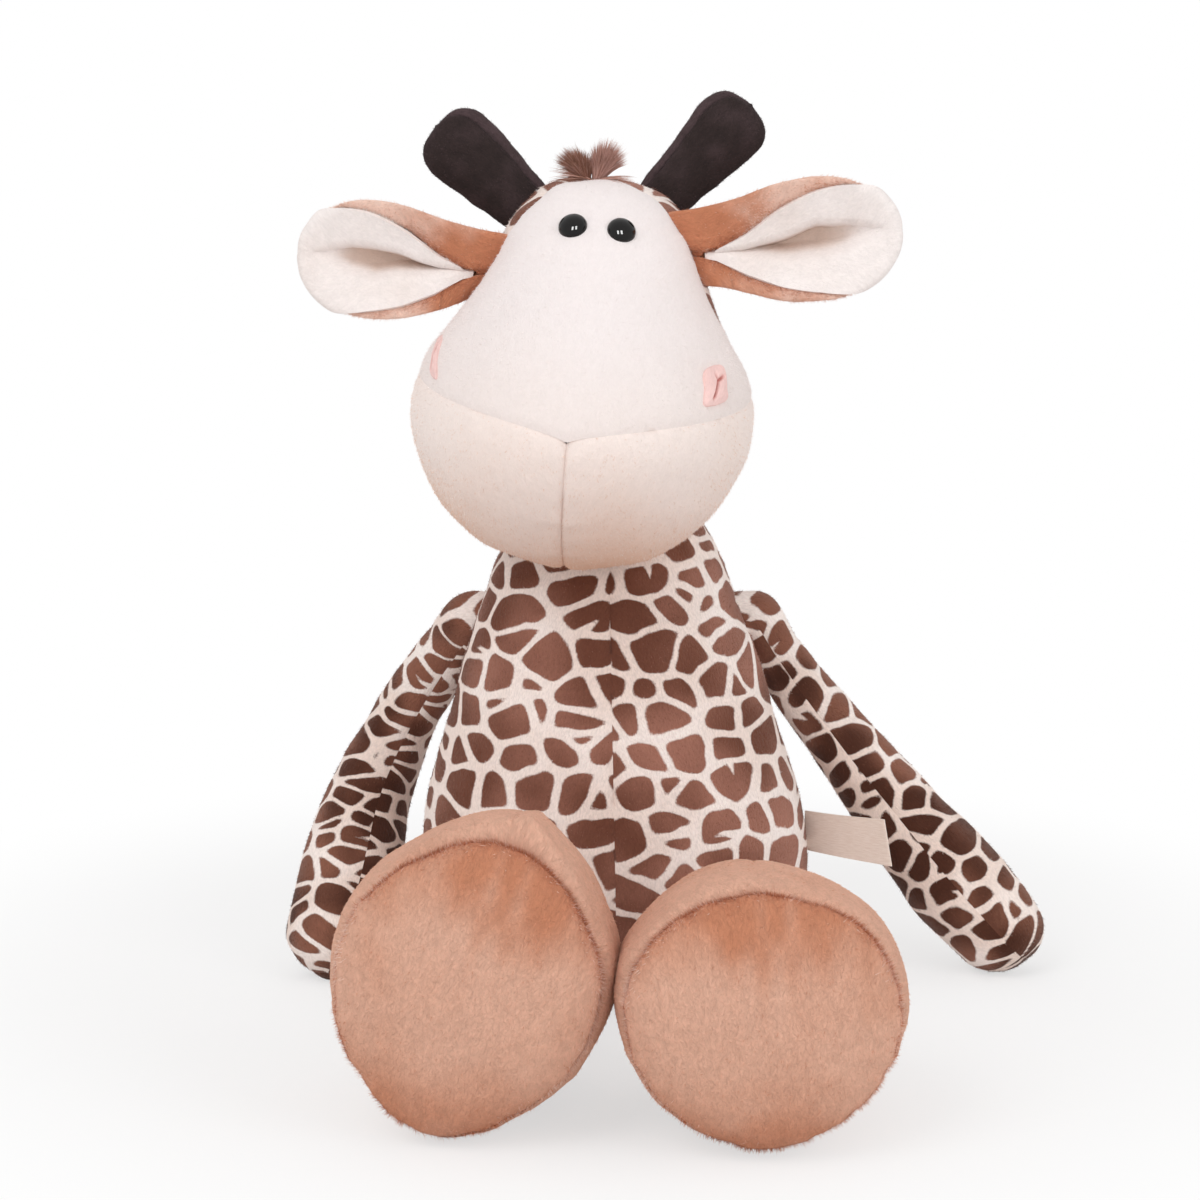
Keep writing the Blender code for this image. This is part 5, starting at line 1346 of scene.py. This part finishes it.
def strands(name, roots, ways, lengths, widths, droops, slots, materials, sides=3, steps=4):
    """Tapered curved hairs as one object."""
    n = len(roots)
    share = np.linspace(0, 1, steps + 1)
    path = roots[:, None] + ways[:, None] * lengths[:, None, None] * share[None, :, None]
    path = path + droops[:, None] * (share**2)[None, :, None] * lengths[:, None, None]
    run = unit(np.gradient(path, axis=1))
    first = unit(np.cross(run, np.array((0.31, 0.87, 0.39))))
    second = np.cross(run, first)
    angles = np.arange(sides) * TURN / sides
    taper = widths[:, None] / 2 * (1 - share**2)[None, :]
    ring = np.cos(angles)[:, None] * first[:, :, None] + np.sin(angles)[:, None] * second[:, :, None]
    points = path[:, :, None] + ring * taper[..., None, None]
    body = points[:, :-1].reshape(n, -1, 3)
    points = np.concatenate([body, path[:, -1:]], axis=1)
    faces = []
    for k in range(steps - 1):
        for j in range(sides):
            a, b = k * sides + j, k * sides + (j + 1) % sides
            faces += [(a, b, b + sides), (a, b + sides, a + sides)]
    tip = steps * sides
    for j in range(sides):
        faces.append(((steps - 1) * sides + j, (steps - 1) * sides + (j + 1) % sides, tip))
    faces += [(0, k + 1, k) for k in range(1, sides - 1)]
    faces = np.array(faces)
    whole = (faces[None] + (np.arange(n) * (tip + 1))[:, None, None]).reshape(-1, 3)
    obj = solid_mesh(name, points.reshape(-1, 3), whole, np.repeat(slots, len(faces)))
    for material in materials:
        obj.data.materials.append(material)
    return obj


TUFT_SHIFT = -0.0050  # it stands a little to the left of the crown
TUFT_LOBES = (  # across, how high, half width, hairs
    (-0.0072, 0.0104, 0.0068, 760),
    (0.0044, 0.0142, 0.0066, 860),
)


def make_tuft():
    """Two round lobes of fine hair on the crown, tied together, with stray hairs at the roots."""
    roots, ways, lengths, droops, slots = [], [], [], [], []
    for k, (x, tall, half, count) in enumerate(TUFT_LOBES):
        turn = random.uniform(0, TURN, count)
        out = np.sqrt(random.uniform(0, 1, count))
        right, back = np.cos(turn), np.sin(turn)
        base = (x * 0.35 + right * out * 0.0018, back * out * 0.0020, np.full(count, -0.0012))
        base = np.stack(base, axis=1)
        rim = half * np.sin(out * 1.75)
        high = tall * (0.48 + 0.52 * np.cos(out * 1.75))
        goal = np.stack([x + right * rim, back * rim, high], axis=1)
        goal = goal + random.normal(0, 0.00055, goal.shape)
        path = goal - base
        long = np.linalg.norm(path, axis=1)
        bulge = np.stack([right * out * 0.55, back * out * 0.55, -0.45 * out], axis=1)
        roots.append(base)
        ways.append(path / long[:, None] - bulge * 0.55)
        lengths.append(long)
        droops.append(bulge * 0.55)
        slots.append(random.integers(0, 3, count) * 2 // 3 + k)
    count = 130
    sign = random.choice([-1, 1], count)
    x = sign * random.uniform(0.0, 0.004, count)
    roots.append(np.stack([x, random.normal(-0.001, 0.0015, count), np.full(count, -0.0005)], axis=1))
    rise = random.uniform(0.0, 0.50, count)
    ways.append(unit(np.stack([sign * 1.0, random.normal(-0.25, 0.35, count), rise], axis=1)))
    lengths.append(random.uniform(0.006, 0.0150, count))
    droops.append(np.tile(np.array((0, 0, -0.22)), (count, 1)))
    slots.append(random.integers(0, 3, count))
    roots = HEAD.world(HEAD.rows[1, :3] + X * TUFT_SHIFT + np.vstack(roots))
    ways, droops = (HEAD.world(np.vstack(each), True) for each in (ways, droops))
    widths = random.uniform(0.00026, 0.00042, len(roots))
    obj = strands("hair_strands", roots, ways, np.concatenate(lengths), widths, droops,
                  np.concatenate(slots), shades("hair", *HAIR))
    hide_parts("hair_tuft")
    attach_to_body(obj, "head")


def make_tail():
    root = JOINTS["tail_swing"]
    radius, length = 0.0042, 0.024
    end = root + Y * 0.004 - Z * length
    control = (root + end) / 2 + Y * 0.002
    rings = []
    for share in (0, 0.5, 1):
        middle, way = curve(root, control, end, share)
        front = np.cross(X, way)
        if share == 0:
            rings += round_end(middle, way, X, front, radius, -1)
        rings.append((middle, X, front, radius, radius, radius))
    rings += reversed(round_end(middle, way, X, front, radius, 1))
    skin = Skin(rings)
    bend = bend_at("body", "tail", root, Y, 0.004, 0.003)
    patch = Patch(skin, (0, skin.count), (0, TURN), 0.0009, whole=True).swell({}, 0.0003, 0.006)
    patch.print = giraffe_print(patch.u, patch.v, LIMB_CELL * 0.7, 130)
    dress(patch.mesh("tail_cloth", 0.001), ["tail"], "print", bend)
    n = 420
    turn, out = random.uniform(0, TURN, n), np.sqrt(random.uniform(0, 1, n))
    right, back = np.cos(turn) * out, np.sin(turn) * out
    base = end - Z * 0.003 + np.stack([right, back, out * 0.3], axis=1) * 0.0035
    way = unit(np.stack([right * 0.45, back * 0.45, -np.ones(n)], axis=1))
    droop = np.stack([right * -0.25, back * -0.25, np.zeros(n)], axis=1)
    brush = strands("tail_brush_strands", base, way, random.uniform(0.016, 0.022, n),
                    random.uniform(0.0005, 0.0009, n), droop, random.integers(0, 2, n), FIBRES["dark"])
    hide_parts("tail_brush")
    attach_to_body(brush, "tail")


LABEL_LENGTH, LABEL_HEIGHT, LABEL_PLY, LABEL_PLY_GAP = 0.0335, 0.0145, 0.0004, 0.0004
LABEL_SWING, LABEL_TILT = math.radians(31), math.radians(-1.0)


def make_label():
    """A bare folded ribbon with a woven look, its fold at the outer end."""
    m = Nodes("ribbon", 0.5)
    cloth = m.attribute("fabric", "Vector")
    rib = m.add("TexWave", bands_direction="X")
    rib.inputs["Scale"].default_value = 900
    rib.inputs["Distortion"].default_value = 1.0
    m.join(cloth, rib.inputs["Vector"])
    thread = m.noise(m.scaled(cloth, (300, 3000, 1)), 1.0, 2.0)
    m.colour(m.mix(m.ramp(thread, 0.3, 0.7), srgb(248, 231, 219), srgb(238, 218, 204)))
    m.bump(m.math("ADD", rib.outputs["Fac"], thread), 0.00006)
    m.set("Sheen Weight", 0.15)
    root = JOINTS["label_flap"]
    way = np.array((math.cos(LABEL_SWING), -math.sin(LABEL_SWING), 0))
    side = np.array((way[1], -way[0], 0))
    middle = (LABEL_PLY + LABEL_PLY_GAP) / 2
    along = np.linspace(0, LABEL_LENGTH - 0.0006, 30)
    bend_angles = np.linspace(0, math.pi, 9)[1:-1]
    path = [(x, middle) for x in along]
    path += [(along[-1] + math.sin(a) * middle * 1.2, math.cos(a) * middle) for a in bend_angles]
    path += [(x, -middle) for x in along[::-1]]
    path = np.array(path)
    tall = np.linspace(-0.5, 0.5, 17)
    p, h = np.meshgrid(np.arange(len(path)), tall, indexing="ij")
    x, off = path[p, 0], path[p, 1]
    droop = math.tan(LABEL_TILT)
    wave = 0.0007 * np.sin(x / LABEL_LENGTH * 4.0) * (1 + 0.3 * h)
    points = root + way * x[..., None] + side * (off + wave)[..., None]
    flare = 1 + 0.16 * x / LABEL_LENGTH
    points = points + Z * (h * LABEL_HEIGHT * flare * math.cos(LABEL_TILT) + x * droop)[..., None]
    points = points - way * (0.10 * h * x)[..., None]
    normals = unit(np.cross(np.gradient(points, axis=0), np.gradient(points, axis=1)))
    if (normals[0, 0] * side).sum() * off[0, 0] < 0:
        normals = -normals
    run = np.cumsum(np.hypot(*np.diff(path, axis=0, prepend=path[:1]).T))[p]
    patch = Patch.of(points, normals, run, h * LABEL_HEIGHT)
    obj = patch.mesh("label_cloth", LABEL_PLY)
    obj.data.materials.append(m.material)
    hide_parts("label_ribbon")
    attach(obj, bend_at("body", "label", root, way, 0.001, 0.005))


# What stays inside


def dress_inside():
    """The filling and the eyes' washers, which the cloth hides."""
    filling = Nodes("fibre_filling", 1.0)
    wisps = filling.noise(filling.place(), 260, 4.0, 1.5, 0.7)
    share = filling.ramp(wisps, 0.3, 0.7)
    filling.colour(filling.mix(share, (0.80, 0.80, 0.78, 1), (0.92, 0.92, 0.91, 1)))
    filling.bump(wisps, 0.001)
    plastic = Nodes("washer_plastic", 0.45)
    grain = plastic.noise(plastic.place(), 1500, 2.0)
    plastic.colour(plastic.mix(grain, (0.78, 0.78, 0.76, 1), (0.83, 0.83, 0.81, 1)))
    plastic.bump(grain, 0.00002)
    for name, node in frame["nodes"].items():
        if name.endswith("stuffing") or name.startswith("eye_washer"):
            node.data.materials.clear()
            node.data.materials.append((plastic if "washer" in name else filling).material)


# Camera, light and floor


def make_stage():
    bpy.ops.mesh.primitive_plane_add(size=8, location=(0, 0, -0.0003))
    floor = bpy.context.object
    floor.name = "floor"
    m = Nodes("floor", 0.9)
    m.colour((0.90, 0.90, 0.90, 1))
    m.set("Specular IOR Level", 0.0)
    away = m.add("VectorMath", operation="LENGTH")
    m.join(m.place(), away.inputs[0])
    near = m.ramp(away.outputs["Value"], 0.16, 0.34, 0.62, 1.0)
    white = m.add("Emission").outputs[0]
    shown = m.math("MULTIPLY", m.seen_rays(), near)
    m.blend(shown, m.shader.outputs[0], white, "Material Output")
    floor.data.materials.append(m.material)
    world = bpy.data.worlds.new("studio")
    bpy.context.scene.world = world
    world.use_nodes = True
    sky = Tree(world.node_tree)
    light, seen = sky.tree.nodes["Background"], sky.add("Background")
    for node, colour, strength in ((light, (1, 0.99, 0.985, 1), 0.72), (seen, (1, 1, 1, 1), 1.0)):
        sky.join(colour, node.inputs["Color"])
        sky.join(strength, node.inputs["Strength"])
    sky.blend(sky.seen_rays(), light.outputs[0], seen.outputs[0], "World Output")
    for name, place, aim, size, power in (
        ("key", (-0.75, -1.1, 1.35), (0, 0, 0.15), (0.9, 0.9), 8.0),
        ("fill", (1.0, -1.0, 0.8), (0, 0, 0.15), (0.8, 0.8), 4.0),
        ("window_left", (-0.093, -0.451, 0.440), (-0.005, -0.037, 0.275), (0.09, 0.22), 2.2),
        ("window_right", (0.096, -0.442, 0.455), (-0.005, -0.037, 0.275), (0.09, 0.22), 2.2),
    ):
        data = bpy.data.lights.new(name, "AREA")
        data.shape = "RECTANGLE"
        data.size, data.size_y = size
        data.energy = power
        lamp = bpy.data.objects.new(name, data)
        bpy.context.scene.collection.objects.link(lamp)
        lamp.location = place
        lamp.rotation_euler = (Vector(aim) - Vector(place)).to_track_quat("-Z", "Y").to_euler()
        lamp.visible_camera = False
        if name.startswith("window"):
            lamp.visible_diffuse = False
        else:
            lamp.visible_glossy = False

FOCAL_PIXELS, PICTURE_PIXELS = 3055, 1200
CAMERA_AIM, CAMERA_AWAY, CAMERA_RISE = (-0.0043, 0, 0.140), 1.1, math.radians(10)


def make_camera():
    data = bpy.data.cameras.new("camera")
    data.sensor_width = 36
    data.lens = FOCAL_PIXELS / PICTURE_PIXELS * data.sensor_width
    data.clip_start = 0.01
    camera = bpy.data.objects.new("camera", data)
    bpy.context.scene.collection.objects.link(camera)
    target = Vector(CAMERA_AIM)
    back = Vector((0, -math.cos(CAMERA_RISE), math.sin(CAMERA_RISE)))
    camera.location = target + CAMERA_AWAY * back
    camera.rotation_euler = (target - camera.location).to_track_quat("-Z", "Y").to_euler()
    bpy.context.scene.camera = camera


make_body()
make_head()
make_horns()
make_ears()
make_arms()
make_legs()
make_eyes()
make_nostrils()
make_tuft()
make_tail()
make_label()
dress_inside()
make_stage()
make_camera()
bpy.context.scene.view_settings.view_transform = "Standard"
